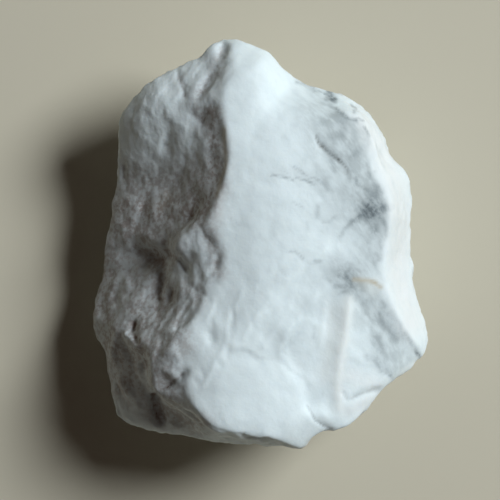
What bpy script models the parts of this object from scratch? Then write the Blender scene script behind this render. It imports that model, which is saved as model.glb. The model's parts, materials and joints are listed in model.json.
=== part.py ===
"""Raw magnesite: one broken chunk of white stone, lying on its back with the broad broken face up.

Run with blender --background --python part.py, or from Blender's text editor. Sizes are in
millimetres until the finished stone is scaled to metres. X is across the broad face, Y along it,
Z up from the surface that the stone rests on.
"""

from dataclasses import dataclass

import bmesh
import bpy
import numpy as np
from mathutils import Matrix, Vector, noise
from mathutils.geometry import delaunay_2d_cdt

NAME = "magnesite_stone"

# The real size of the finished stone
WIDTH = 31.5
LENGTH = 38.0
THICKNESS = 18.0
METRES_PER_MM = 0.001

# How finely the cage is rounded before it is carved, and how many triangles are kept of it
CAGE_LEVELS = 4
TRIANGLES = 9400

# How much of the lowest point is flattened into the spot that the stone rests on
RESTING_CUT = 0.55

# The widest outline, clockwise from the cleft at the top, as seen from above: x, y, height
TOP_EDGE = (
    (-5.3, 18.0, 12.8), (-4.5, 18.9, 13.0), (-3.2, 19.0, 13.2), (-1.8, 19.0, 13.6),
    (-0.2, 18.3, 13.8), (1.0, 17.8, 13.6), (1.7, 16.4, 13.4), (2.9, 15.2, 13.2),
    (4.4, 14.7, 12.8), (5.8, 14.5, 12.4), (7.4, 14.0, 12.0), (9.0, 13.1, 11.6),
)
RIGHT_EDGE = (
    (10.3, 12.2, 11.4), (11.0, 11.0, 11.2), (11.7, 9.8, 11.0), (11.9, 8.2, 10.8),
    (13.3, 7.4, 10.6), (14.0, 6.1, 10.4), (14.2, 4.2, 10.2), (13.9, 1.7, 10.2),
    (14.1, -1.3, 10.2), (14.3, -4.1, 10.0), (14.9, -6.0, 9.6), (15.4, -7.6, 9.4),
    (15.6, -9.1, 9.6), (15.4, -10.4, 10.2), (14.1, -11.4, 11.4), (13.0, -12.4, 12.0),
)
BOTTOM_EDGE = (
    (11.8, -13.1, 12.7), (11.1, -13.8, 13.3), (10.1, -15.0, 13.9), (8.8, -16.5, 14.5),
    (7.5, -17.2, 14.9), (6.3, -17.2, 15.1), (5.0, -17.7, 15.0), (3.7, -19.1, 14.7),
    (2.3, -18.9, 12.6), (-0.2, -18.6, 11.8), (-3.0, -18.7, 11.0), (-5.8, -18.5, 10.0),
    (-8.8, -17.8, 8.8), (-11.4, -17.5, 7.6), (-13.1, -16.9, 6.8),
)
LEFT_EDGE = (
    (-14.1, -14.9, 6.4), (-14.3, -12.5, 6.0), (-14.8, -10.2, 5.8), (-15.7, -9.0, 5.6),
    (-16.1, -7.5, 5.6), (-15.8, -5.3, 5.6), (-15.2, -3.5, 5.6), (-14.8, -1.6, 6.0),
    (-14.5, 0.3, 6.6), (-14.4, 1.9, 6.8), (-13.8, 3.8, 7.0), (-13.4, 5.9, 7.4),
    (-13.5, 8.5, 8.2), (-13.5, 11.2, 9.2), (-12.7, 12.8, 10.0), (-11.3, 14.2, 10.8),
    (-10.2, 15.4, 11.4), (-8.5, 16.2, 11.8), (-7.1, 17.0, 12.2), (-5.9, 17.2, 12.6),
)
OUTLINE = TOP_EDGE + RIGHT_EDGE + BOTTOM_EDGE + LEFT_EDGE

# How sharp the outline stays, from 0 to 1
OUTLINE_SHARPNESS = 0.75


@dataclass(frozen=True)
class BreakLine:
    """The line where two broken faces meet: its points, and how sharp it stays, from 0 to 1."""

    points: tuple
    sharpness: float


@dataclass(frozen=True)
class Stroke:
    """A ridge on the upper face, or a groove where the height is below zero, as seen from above."""

    points: tuple
    half_width: float
    height: float


@dataclass(frozen=True)
class Facet:
    """A flat break that takes off whatever stands beyond it: a point on it and the way it faces."""

    point: tuple
    facing: tuple


# The crest that runs down the stone, between the steep left side and the broad plate
MAIN_ARRIS = (
    (-3.2, 19.0, 13.2), (-2.5, 17.6, 15.4), (-2.3, 16.1, 16.4), (-3.1, 15.0, 16.9),
    (-3.5, 13.2, 17.1), (-3.5, 11.4, 17.3), (-3.0, 9.5, 17.5), (-2.9, 8.1, 17.6),
    (-3.2, 6.2, 17.6), (-3.8, 4.4, 17.6), (-4.4, 3.0, 17.5), (-4.9, 2.2, 17.2),
)
NOTCH_ARRIS = (
    (-4.9, 2.2, 17.2), (-4.1, 0.6, 17.3), (-3.4, -0.8, 17.4), (-3.4, -2.2, 17.4),
    (-4.1, -3.9, 17.2), (-5.4, -5.2, 16.9),
)
LOWER_ARRIS = (
    (-5.4, -5.2, 17.0), (-6.2, -6.4, 17.0), (-6.9, -7.6, 16.9), (-7.2, -8.8, 16.9),
    (-7.3, -10.0, 16.8), (-6.9, -11.2, 16.9), (-6.7, -12.4, 17.0), (-6.5, -14.0, 17.1),
    (-5.9, -15.4, 17.3), (-4.9, -16.5, 17.5),
)
BOTTOM_ARRIS = (
    (-4.9, -16.5, 17.5), (-3.3, -17.2, 17.6), (-0.9, -17.6, 17.5), (1.5, -18.1, 16.8),
    (3.7, -19.1, 14.7),
)
ARRIS = MAIN_ARRIS + NOTCH_ARRIS[1:] + LOWER_ARRIS[1:] + BOTTOM_ARRIS[1:]
RIGHT_ARRIS = (
    (7.9, 12.6, 15.2), (9.5, 11.4, 15.2), (10.5, 9.3, 15.2), (11.1, 6.7, 15.2),
    (11.7, 4.6, 15.2), (12.1, 3.1, 15.2), (11.8, 0.9, 15.2), (11.2, -1.8, 15.4),
    (11.6, -3.9, 15.2), (12.3, -5.8, 14.8), (13.3, -7.6, 14.0), (14.4, -9.3, 12.6),
    (15.4, -10.4, 10.2),
)
LOWER_CREST = (
    (8.1, -4.2, 16.5), (7.9, -6.2, 16.6), (7.6, -8.1, 16.4), (7.2, -9.9, 16.2),
    (7.0, -11.8, 16.0), (7.0, -13.8, 15.7),
)
LOWER_VALLEY = (
    (6.1, -5.7, 16.3), (6.0, -9.0, 16.1), (5.6, -12.2, 15.8), (5.6, -14.7, 15.4),
)
SCAR_RIM = (
    (7.4, -10.6, 16.0), (8.6, -10.6, 15.6), (10.4, -11.5, 14.9), (11.9, -12.3, 14.1),
)
SCAR_FOOT = (
    (11.2, -13.3, 14.2), (10.3, -13.5, 14.6), (8.8, -14.1, 15.2), (7.6, -14.6, 15.7),
)

# The shelf below the upper left face, the block beside the notch, and the terrace under them
SHELF_BREAK = (
    (-13.4, 0.5, 8.0), (-12.3, 0.3, 9.0), (-11.2, 0.6, 9.9), (-9.9, 0.1, 11.0),
    (-8.9, -0.2, 11.9), (-8.3, 0.5, 12.7), (-7.4, 1.3, 13.6), (-6.3, 2.2, 14.8),
    (-5.5, 2.5, 15.8),
)
SHELF_FOOT = (
    (-13.4, -0.6, 7.0), (-11.9, -0.7, 7.9), (-10.4, -1.0, 8.9), (-9.1, -1.4, 10.1),
    (-8.5, -0.8, 11.7),
)
BLOCK_EDGE = (
    (-7.9, -1.2, 14.8), (-7.7, 0.1, 15.1), (-6.8, 1.1, 15.7), (-6.0, 1.6, 16.2),
    (-5.4, 0.9, 16.4), (-4.8, -0.2, 16.6), (-4.5, -1.6, 16.7),
)
BLOCK_FOOT = ((-8.0, -1.9, 13.3), (-7.2, -2.2, 14.0), (-6.7, -2.9, 14.6))
GULLY = ((-9.3, -2.2, 10.8), (-9.4, -3.4, 11.2), (-9.5, -4.5, 11.6), (-9.9, -5.3, 12.0))
TERRACE_EDGE = (
    (-10.4, -2.0, 9.8), (-11.5, -3.2, 9.9), (-12.1, -4.3, 9.9), (-12.6, -5.6, 9.9),
    (-12.5, -6.8, 10.5), (-11.7, -7.4, 11.6), (-11.1, -8.4, 13.2), (-10.7, -9.3, 13.8),
    (-10.3, -10.2, 14.4), (-9.9, -11.2, 15.2), (-10.0, -12.4, 15.2), (-9.8, -13.5, 14.7),
    (-8.9, -13.9, 15.1), (-8.2, -14.6, 15.3), (-7.1, -15.1, 15.8), (-6.2, -15.6, 15.9),
)
TERRACE_FOOT = (
    (-13.1, -7.9, 10.0), (-12.4, -8.8, 10.4), (-11.7, -10.3, 10.6), (-11.3, -12.0, 10.6),
    (-10.8, -13.6, 10.6), (-9.6, -14.6, 10.8), (-8.5, -15.6, 11.2), (-7.2, -16.1, 12.0),
    (-6.0, -16.4, 13.4),
)
FRONT_EDGE = (
    (-12.0, -16.5, 8.4), (-10.6, -16.7, 9.2), (-9.0, -17.0, 9.8), (-7.4, -17.1, 11.0),
    (-5.6, -17.1, 12.8),
)
UPPER_LINES = (
    BreakLine(MAIN_ARRIS, 0.9), BreakLine(NOTCH_ARRIS, 0.4), BreakLine(LOWER_ARRIS, 0.5),
    BreakLine(BOTTOM_ARRIS, 0.9), BreakLine(RIGHT_ARRIS, 0.6), BreakLine(LOWER_CREST, 0.5),
    BreakLine(LOWER_VALLEY, 0.0), BreakLine(SCAR_RIM, 0.6), BreakLine(SCAR_FOOT, 0.5),
    BreakLine(SHELF_BREAK, 0.6), BreakLine(SHELF_FOOT, 0.3), BreakLine(BLOCK_EDGE, 0.6),
    BreakLine(BLOCK_FOOT, 0.4), BreakLine(GULLY, 0.4), BreakLine(TERRACE_EDGE, 0.5),
    BreakLine(TERRACE_FOOT, 0.3), BreakLine(FRONT_EDGE, 0.5),
)
UPPER_POINTS = (
    # The broad plate
    (0.0, 15.6, 17.0), (0.5, 11.5, 17.3), (3.5, 11.8, 17.0), (0.0, 7.0, 17.7),
    (3.6, 7.5, 17.4), (-0.5, 2.0, 18.0), (3.6, 3.2, 17.6), (0.0, -3.0, 18.1),
    (4.0, -1.5, 17.5), (-1.5, -7.5, 18.0), (2.6, -6.6, 17.6), (-3.6, -11.0, 17.8),
    (0.0, -11.8, 17.4), (3.0, -10.6, 16.7), (-2.0, -15.0, 17.9), (2.2, -15.2, 17.2),
    (4.6, -15.6, 16.6),
    # The grey part of the face, towards the right arris
    (6.5, 11.5, 16.2), (8.2, 8.9, 16.2), (5.6, 8.8, 17.0), (8.0, 4.6, 16.6),
    (10.0, 3.6, 16.0), (8.4, 0.2, 16.6), (9.6, -3.4, 16.1), (6.6, -3.0, 17.0),
    (9.6, -7.4, 15.5), (11.6, -9.8, 14.4), (13.0, -10.8, 13.2),
    # Below the scar
    (9.9, -14.3, 14.6), (8.6, -15.3, 15.0), (6.9, -16.0, 15.6),
    # The steep left face: sharply down from the crest, then easing off towards the rim
    (-5.2, 13.6, 15.8), (-7.3, 13.6, 14.5), (-9.6, 13.2, 13.5), (-11.4, 11.6, 11.9),
    (-5.2, 11.4, 15.5), (-5.1, 9.2, 15.1), (-7.4, 10.0, 13.5), (-10.0, 9.4, 11.8),
    (-12.3, 9.2, 10.1), (-5.2, 6.8, 15.0), (-7.8, 6.2, 12.3), (-10.4, 5.4, 9.8),
    (-12.5, 4.8, 8.4), (-6.0, 4.3, 14.8), (-8.8, 3.0, 12.0), (-11.4, 2.6, 9.8),
    (-13.2, 2.4, 8.2), (-4.0, 16.6, 15.3), (-5.0, 15.4, 15.1), (-6.6, 15.6, 13.9),
    (-8.6, 14.8, 12.7),
    # The block's face and the ground below it
    (-6.3, -0.4, 15.8), (-5.5, -1.9, 16.1), (-7.6, -3.6, 14.2), (-6.2, -4.2, 15.6),
    (-8.6, -3.0, 12.9), (-10.4, -3.4, 10.8), (-11.1, -5.2, 11.1), (-8.5, -4.8, 13.5),
    (-7.6, -6.6, 15.0), (-9.2, -7.0, 13.7), (-10.4, -8.0, 12.9), (-8.9, -8.6, 15.2),
    (-8.6, -10.0, 16.2), (-9.7, -10.2, 15.4), (-8.8, -11.6, 16.1), (-8.0, -12.4, 16.2),
    (-8.5, -13.0, 15.5), (-7.5, -13.6, 16.5),
    # The dark wall with its ledge, and the lump at its foot
    (-13.8, -3.8, 7.4), (-14.6, -6.6, 7.6), (-14.2, -8.6, 8.4), (-13.4, -9.8, 9.6),
    (-13.1, -11.6, 9.6), (-12.7, -13.4, 9.2), (-12.4, -15.0, 8.6), (-10.9, -15.2, 10.2),
    (-9.4, -15.8, 9.8),
)

# The underside: an uneven lower edge, and the corners that climb from it to the outline
LOWER_EDGE = (
    (-2.4, 16.4, 5.2), (2.2, 14.4, 3.0), (6.8, 12.2, 4.0), (10.4, 9.4, 2.4),
    (12.0, 3.4, 1.8), (12.9, -3.2, 2.8), (13.4, -7.8, 4.4), (9.4, -12.6, 2.6),
    (3.9, -16.4, 4.4), (-2.2, -16.0, 2.2), (-8.4, -15.2, 1.8), (-12.0, -12.4, 2.6),
    (-13.6, -6.8, 1.6), (-12.4, -0.8, 3.2), (-12.0, 5.4, 1.6), (-10.4, 10.8, 3.0),
    (-6.8, 14.2, 4.6), (-2.4, 16.4, 5.2),
)
TOP_CORNER = ((-3.2, 19.0, 13.2), (-3.2, 17.9, 9.4), (-2.4, 16.4, 5.2))
UPPER_RIGHT_CORNER = ((10.3, 12.2, 11.4), (10.6, 11.2, 7.0), (10.4, 9.4, 2.4))
RIGHT_CORNER = ((15.6, -9.1, 9.6), (14.8, -8.7, 6.8), (13.4, -7.8, 4.4))
BOTTOM_CORNER = ((3.7, -19.1, 14.7), (3.4, -18.1, 8.6), (3.9, -16.4, 4.4))
LOWER_LEFT_CORNER = ((-13.1, -16.9, 6.8), (-12.6, -14.8, 4.8), (-12.0, -12.4, 2.6))
LEFT_CORNER = ((-16.1, -7.5, 5.6), (-15.0, -7.2, 3.8), (-13.6, -6.8, 1.6))
UPPER_LEFT_CORNER = ((-12.7, 12.8, 10.0), (-12.0, 12.0, 6.2), (-10.4, 10.8, 3.0))
BELLY = ((-13.6, -6.8, 1.6), (-9.4, -5.0, 0.2), (-6.2, -5.8, -0.6))
KEEL = ((-2.4, 16.4, 5.2), (-2.6, 11.4, 1.6), (-1.4, 6.2, -0.5))
LOWER_LINES = (
    BreakLine(LOWER_EDGE, 0.8), BreakLine(TOP_CORNER, 0.8), BreakLine(UPPER_RIGHT_CORNER, 0.6),
    BreakLine(RIGHT_CORNER, 0.8), BreakLine(BOTTOM_CORNER, 0.8),
    BreakLine(LOWER_LEFT_CORNER, 0.6), BreakLine(LEFT_CORNER, 0.8),
    BreakLine(UPPER_LEFT_CORNER, 0.6), BreakLine(BELLY, 0.5), BreakLine(KEEL, 0.6),
)
LOWER_POINTS = (
    # The ground around the resting spot
    (-1.2, -8.6, -0.7), (4.6, -7.0, -0.6), (6.8, -1.4, -0.6), (4.2, 4.6, -0.7),
    (-6.2, 3.6, -0.6), (-7.4, -1.2, -0.5), (0.0, 0.0, -0.8), (6.2, 8.6, 1.5), (-6.8, 9.4, 1.2),
    (-3.2, -12.4, 0.4), (9.6, -5.2, 1.3),
    # The walls between the corners
    (-8.2, -16.7, 5.4), (-3.0, -17.6, 6.6), (8.2, -15.4, 6.6), (12.4, -11.4, 6.8),
    (13.6, -2.2, 6.2), (13.2, 4.2, 6.0), (7.2, 13.2, 7.6), (1.6, 16.2, 8.0),
    (-7.6, 15.6, 7.4), (-12.7, 7.4, 5.0), (-13.3, 1.8, 4.6), (-13.7, -10.8, 4.4),
)

# Broken corners and flats on the sides and the underside
FACETS = (
    Facet((10.8, -12.2, 4.6), (0.62, -0.50, -0.60)), Facet((-12.4, 9.8, 3.6), (-0.72, 0.30, -0.62)),
    Facet((1.2, 15.6, 5.4), (0.26, 0.62, -0.74)), Facet((-10.2, -14.6, 2.6), (-0.34, -0.52, -0.78)),
    Facet((12.2, 1.2, 2.4), (0.60, 0.16, -0.78)), Facet((-12.2, -2.6, 2.0), (-0.70, -0.05, -0.71)),
)

# The cleft and the grooves of the upper left face
LEFT_FACE_STROKES = (
    Stroke(((-3.5, 18.3), (-3.6, 17.6), (-4.0, 16.4), (-4.7, 15.5), (-5.6, 13.8)), 0.46, -0.36),
    Stroke(((-7.8, 16.3), (-7.3, 15.2), (-7.1, 13.8)), 0.40, -0.14),
    Stroke(((-5.2, 12.1), (-5.9, 11.1)), 0.50, -0.22),
    Stroke(((-8.4, 10.3), (-8.8, 9.2)), 0.50, -0.20),
    Stroke(((-7.2, 6.5), (-7.9, 5.4)), 0.50, -0.28),
    Stroke(((-5.7, 4.2), (-6.1, 3.0), (-6.7, 2.3)), 0.40, -0.28),
    Stroke(((-10.6, 3.8), (-11.1, 2.7), (-11.6, 1.5)), 0.50, -0.12),
)

# The grooves around the block and across the broken ground below it, and two low ridges there
LOWER_LEFT_STROKES = (
    Stroke(((-8.1, -1.0), (-7.4, -1.5), (-6.8, -2.4)), 0.30, -0.40),
    Stroke(((-7.0, -3.2), (-5.8, -4.2), (-4.8, -4.9)), 0.40, -0.12),
    Stroke(((-5.8, -5.2), (-6.3, -6.3), (-7.1, -7.3)), 0.40, -0.30),
    Stroke(((-8.2, -4.4), (-8.5, -5.3), (-9.3, -6.2)), 0.40, -0.32),
    Stroke(((-11.9, -7.2), (-11.5, -8.3)), 0.40, -0.45),
    Stroke(((-9.0, -9.0), (-9.3, -9.9), (-9.6, -10.7)), 0.40, -0.12),
    Stroke(((-6.9, -11.8), (-8.0, -12.7), (-9.3, -13.4)), 0.35, -0.40),
    Stroke(((-10.0, -14.2), (-9.7, -15.4), (-9.2, -16.7)), 0.40, -0.55),
    Stroke(((-12.4, -8.5), (-11.8, -9.2), (-11.2, -9.5)), 0.30, 0.45),
    Stroke(((-9.3, -1.6), (-9.4, -3.4), (-9.7, -5.0)), 0.35, -0.36),
    Stroke(((-4.8, 0.7), (-4.2, -0.6), (-4.0, -2.1)), 0.40, -0.15),
)

# The low crests, dimples and cracks of the plate, and the facets of its lower right
PLATE_STROKES = (
    Stroke(((5.0, 9.9), (5.5, 8.8), (6.6, 7.9), (7.6, 7.0), (8.0, 6.3)), 0.30, -0.14),
    Stroke(((5.8, -0.6), (3.7, -1.7), (-0.2, -5.2), (-1.9, -8.0), (-3.3, -9.9)), 0.60, 0.16),
    Stroke(((5.6, -4.3), (3.7, -6.2), (2.3, -8.0), (1.7, -9.9)), 0.50, 0.18),
    Stroke(((4.0, -6.8), (2.4, -9.4), (2.8, -10.9), (4.0, -12.4), (4.6, -14.6)), 0.60, -0.18),
    Stroke(((-4.6, -8.1), (-4.3, -9.0)), 0.50, -0.20),
    Stroke(((-3.1, -9.4), (-2.9, -10.1)), 0.45, -0.14),
    Stroke(((-3.5, -11.0), (-1.9, -10.6), (-0.2, -10.2), (1.4, -10.5)), 0.40, -0.10),
    Stroke(((8.9, -5.2), (11.2, -7.8), (13.4, -10.4)), 0.40, -0.18),
    Stroke(((10.2, -5.4), (12.4, -7.9), (14.2, -10.0)), 0.35, -0.14),
    Stroke(((8.0, -14.5), (8.8, -14.1), (9.8, -13.7), (10.9, -13.5)), 0.25, -0.28),
    Stroke(((4.3, -14.6), (5.0, -15.8), (6.0, -17.0)), 0.35, -0.14),
)
STROKES = LEFT_FACE_STROKES + LOWER_LEFT_STROKES + PLATE_STROKES

# The rough broken relief: how high its lumps stand, how large they are, and which way they run
HACKLY_HEIGHT = 0.14
HACKLY_LUMP = 2.4
HACKLY_GRAIN = Vector((0.40, 0.90, 0.40)).normalized()
HACKLY_STRETCH = 1.15

# How its lumps are made up: a swirl that bends them, soft rises, and the crevices between them
SWIRL_SEED = 7
SWIRL = 0.4
SWIRL_DETAIL = 1.3
RISE_SHARE = 1.1
RISE_DETAIL = 0.9
RISE_OCTAVES = 4
CREVICE_SHARE = 0.3
CREVICE_WIDTH = 0.4
CREVICE_LEVEL = 0.7
OCTAVE_FALL = 1.0
OCTAVE_GAP = 2.0

# Where it fades: on the plate, and in a band along the outline
PLATE_SHARE = 0.30
PLATE_FROM = 0.2
LEFT_SIDE_FROM = -0.7
RIM_SHARE = 0.25
RIM_BAND = 2.5

# The slow swell of the whole stone
SWELL_HEIGHT = 0.22
SWELL_LENGTH = 6.5

# Ledges where the break stepped from one layer to the next
LEDGE_HEIGHT = 0.55
LEDGE_SPACING = 4.6
LEDGE_FACING = Vector((0.45, -0.30, 0.85)).normalized()
LEDGE_WANDER = 0.55
LEDGE_WANDER_LENGTH = 7.4
LEDGE_WANDER_OCTAVES = 2
LEDGE_RISER = 0.12

# How upright a face is: the upward share of its normal where it counts as level, and as steep
LEVEL_NORMAL = 0.5
STEEP_NORMAL = 0.1

# The upward share of a normal below which no stroke reaches, and above which it is full
STROKE_NORMAL_FROM = -0.15
STROKE_NORMAL_TO = 0.2

# The even ground that the resting spot is cut from
RESTING_RADIUS = 4.5
RESTING_FADE = 3.0
RESTING_LOW = 2.0
RESTING_HIGH = 4.0

# Points this many decimals alike are one point of the cage
PLACE_DECIMALS = 2
INSIDE_THE_RIM = 1
FILL_TOLERANCE = 1e-5


def vertex_at(cage, known, point):
    """The cage's vertex over this x and y, made if it isn't there yet."""
    place = (round(point[0], PLACE_DECIMALS), round(point[1], PLACE_DECIMALS))
    if place not in known:
        known[place] = cage.verts.new(point)
    return known[place]


def add_skin(cage, rim, lines, points, faces_up):
    """Fills the rim with triangles that keep every break line as an edge, and creases those edges."""
    known = {
        (round(vert.co.x, PLACE_DECIMALS), round(vert.co.y, PLACE_DECIMALS)): vert for vert in rim}
    chains = [[vertex_at(cage, known, point) for point in line.points] for line in lines]
    for point in points:
        vertex_at(cage, known, point)
    verts = list(known.values())
    index = {vert: number for number, vert in enumerate(verts)}
    kept = [(index[a], index[b]) for chain in chains for a, b in zip(chain, chain[1:])]
    flat = [vert.co.to_2d() for vert in verts]
    bounds = [[index[vert] for vert in rim]]
    filled = delaunay_2d_cdt(flat, kept, bounds, INSIDE_THE_RIM, FILL_TOLERANCE)
    faces, sources = filled[2], filled[3]
    for face in faces:
        corners = [verts[sources[corner][0]] for corner in face]
        cage.faces.new(corners if faces_up else corners[::-1])
    crease = cage.edges.layers.float["crease_edge"]
    for line, chain in zip(lines, chains):
        for a, b in zip(chain, chain[1:]):
            cage.edges.get((a, b))[crease] = line.sharpness


def make_cage():
    """The stone's main planes and break lines, as a mesh of a few hundred triangles."""
    cage = bmesh.new()
    crease = cage.edges.layers.float.new("crease_edge")
    rim = [cage.verts.new(point) for point in reversed(OUTLINE)]
    add_skin(cage, rim, UPPER_LINES, UPPER_POINTS, faces_up=True)
    add_skin(cage, rim, LOWER_LINES, LOWER_POINTS, faces_up=False)
    for a, b in zip(rim, rim[1:] + rim[:1]):
        cage.edges.get((a, b))[crease] = OUTLINE_SHARPNESS
    return cage


def object_from(shape, name):
    """A linked object that holds this bmesh."""
    mesh = bpy.data.meshes.new(name)
    shape.to_mesh(mesh)
    shape.free()
    made = bpy.data.objects.new(name, mesh)
    bpy.context.scene.collection.objects.link(made)
    return made


def apply_modifiers(obj):
    """Puts the evaluated mesh in place of the object's own, and drops its modifiers."""
    graph = bpy.context.evaluated_depsgraph_get()
    obj.data = bpy.data.meshes.new_from_object(obj.evaluated_get(graph))
    obj.modifiers.clear()


def read_vectors(collection, attribute):
    """One vector of every item of a mesh collection, as rows."""
    values = np.empty(len(collection) * 3, np.float32)
    collection.foreach_get(attribute, values)
    return values.reshape(-1, 3).astype(float)


def write_positions(mesh, places):
    """Moves every vertex of the mesh."""
    mesh.vertices.foreach_set("co", places.astype(np.float32).ravel())
    mesh.update()


def smooth_step(low, high, values):
    """Rises softly from 0 at low to 1 at high, or falls where low is the greater."""
    share = np.clip((values - low) / (high - low), 0, 1)
    return share * share * (3 - 2 * share)


def distance_to(path, places):
    """How far each place lies from a path, both in space or both as seen from above."""
    nearest = np.full(len(places), np.inf)
    for start, end in zip(np.array(path), np.array(path)[1:]):
        along = end - start
        share = np.clip((places - start) @ along / (along @ along), 0, 1)
        far = np.linalg.norm(places - start - share[:, None] * along, axis=1)
        nearest = np.minimum(nearest, far)
    return nearest


def cut_facets(places):
    """Presses whatever stands beyond each facet flat onto it."""
    for facet in FACETS:
        facing = np.array(Vector(facet.facing).normalized())
        beyond = np.maximum((places - facet.point) @ facing, 0)
        places = places - beyond[:, None] * facing
    return places


def lump_height(place):
    """The rough relief at one point, from about -1 in a crevice to 1 on a lump."""
    along = place.dot(HACKLY_GRAIN) * HACKLY_GRAIN
    grained = (place - along * (1 - 1 / HACKLY_STRETCH)) / HACKLY_LUMP
    near, second = noise.voronoi(grained + SWIRL * noise.noise_vector(grained * SWIRL_DETAIL))[0][:2]
    crevice = min((second - near) / CREVICE_WIDTH, 1.0) - CREVICE_LEVEL
    rise = noise.fractal(grained * RISE_DETAIL, OCTAVE_FALL, OCTAVE_GAP, RISE_OCTAVES)
    return CREVICE_SHARE * crevice + RISE_SHARE * rise


def ledge_height(place):
    """How far a point stands on its ledge: each tread rises slowly and ends in a short riser."""
    wander = noise.fractal(
        place / LEDGE_WANDER_LENGTH, OCTAVE_FALL, OCTAVE_GAP, LEDGE_WANDER_OCTAVES)
    level = place.dot(LEDGE_FACING) / LEDGE_SPACING + LEDGE_WANDER * wander
    tread = level - np.floor(level)
    return min(tread / (1 - LEDGE_RISER), (1 - tread) / LEDGE_RISER) - 0.5


def rough_relief(places, facing):
    """How far each vertex stands out: hackly on the broken sides, gently waved on the plate."""
    arris = np.array(ARRIS)[::-1]
    beside = places[:, 0] - np.interp(places[:, 1], arris[:, 1], arris[:, 0])
    left = smooth_step(PLATE_FROM, LEFT_SIDE_FROM, beside)
    steep = smooth_step(LEVEL_NORMAL, STEEP_NORMAL, facing[:, 2])
    points = [Vector(place) for place in places]
    lumps = np.array([lump_height(point) for point in points])
    ledges = np.array([ledge_height(point) for point in points])
    swell = np.array([noise.noise(point / SWELL_LENGTH) for point in points])
    rough = HACKLY_HEIGHT * (PLATE_SHARE + (1 - PLATE_SHARE) * np.maximum(left, steep)) * lumps
    from_rim = smooth_step(0, RIM_BAND, distance_to(OUTLINE + OUTLINE[:1], places))
    relief = rough + LEDGE_HEIGHT * steep * ledges + SWELL_HEIGHT * swell
    return relief * (RIM_SHARE + (1 - RIM_SHARE) * from_rim)


def away_from_rest(places):
    """0 on the even ground under the stone, and 1 everywhere else."""
    reach = np.linalg.norm(places[:, :2], axis=1)
    low = smooth_step(RESTING_HIGH, RESTING_LOW, places[:, 2])
    return 1 - low * smooth_step(RESTING_RADIUS + RESTING_FADE, RESTING_RADIUS, reach)


def carve(mesh):
    """Gives the rounded cage its facets, rough relief, cleft, cracks and grooves."""
    write_positions(mesh, cut_facets(read_vectors(mesh.vertices, "co")))
    places = read_vectors(mesh.vertices, "co")
    facing = read_vectors(mesh.vertex_normals, "vector")
    height = rough_relief(places, facing) * away_from_rest(places)
    upper = smooth_step(STROKE_NORMAL_FROM, STROKE_NORMAL_TO, facing[:, 2])
    for stroke in STROKES:
        far = distance_to(stroke.points, places[:, :2]) / stroke.half_width
        height += stroke.height * upper * np.exp(-far * far)
    write_positions(mesh, places + height[:, None] * facing)


def cut_resting_spot(mesh):
    """Cuts the lowest part off flat, and closes the cut."""
    shape = bmesh.new()
    shape.from_mesh(mesh)
    level = min(vert.co.z for vert in shape.verts) + RESTING_CUT
    everything = shape.verts[:] + shape.edges[:] + shape.faces[:]
    cut = bmesh.ops.bisect_plane(
        shape, geom=everything, plane_co=(0, 0, level), plane_no=(0, 0, 1), clear_inner=True)
    rim = [part for part in cut["geom_cut"] if isinstance(part, bmesh.types.BMEdge)]
    bmesh.ops.triangle_fill(shape, edges=rim, normal=(0, 0, -1), use_beauty=True)
    shape.to_mesh(mesh)
    shape.free()


def fit_to_size(mesh):
    """Stretches the stone slightly to its exact size, centred over the origin and resting on z = 0."""
    places = read_vectors(mesh.vertices, "co")
    low, high = places.min(axis=0), places.max(axis=0)
    size = np.array((WIDTH, LENGTH, THICKNESS))
    on_the_ground = places - np.array((*((low + high) / 2)[:2], low[2]))
    write_positions(mesh, on_the_ground * size / (high - low))


def stone_material():
    """White magnesite, nearly matt."""
    material = bpy.data.materials.new("white_magnesite")
    material.use_nodes = True
    shader = material.node_tree.nodes["Principled BSDF"]
    shader.inputs["Base Color"].default_value = (0.74, 0.78, 0.78, 1)
    shader.inputs["Roughness"].default_value = 0.75
    shader.inputs["Metallic"].default_value = 0
    return material


def main():
    """Builds the stone."""
    for old in list(bpy.data.objects):
        bpy.data.objects.remove(old)
    noise.seed_set(SWIRL_SEED)
    stone = object_from(make_cage(), NAME)
    rounding = stone.modifiers.new("rounding", "SUBSURF")
    rounding.levels = rounding.render_levels = CAGE_LEVELS
    apply_modifiers(stone)
    carve(stone.data)
    decimate = stone.modifiers.new("fewer_triangles", "DECIMATE")
    decimate.ratio = TRIANGLES / (2 * len(stone.data.polygons))
    apply_modifiers(stone)
    cut_resting_spot(stone.data)
    fit_to_size(stone.data)
    stone.data.transform(Matrix.Scale(METRES_PER_MM, 4))
    stone.data.shade_smooth()
    stone.data.materials.append(stone_material())


main()
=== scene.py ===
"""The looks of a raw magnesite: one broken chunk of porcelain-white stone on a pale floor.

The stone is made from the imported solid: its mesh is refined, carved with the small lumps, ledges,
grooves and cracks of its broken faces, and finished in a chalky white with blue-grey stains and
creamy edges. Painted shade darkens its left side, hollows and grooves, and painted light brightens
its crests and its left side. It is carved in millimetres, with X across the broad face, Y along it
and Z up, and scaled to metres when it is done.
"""

import json
import logging
import math
from dataclasses import dataclass, field
from enum import Enum
from typing import Any, Sequence

import bmesh
import bpy
import numpy as np
from mathutils import Matrix, Vector, noise

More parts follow.
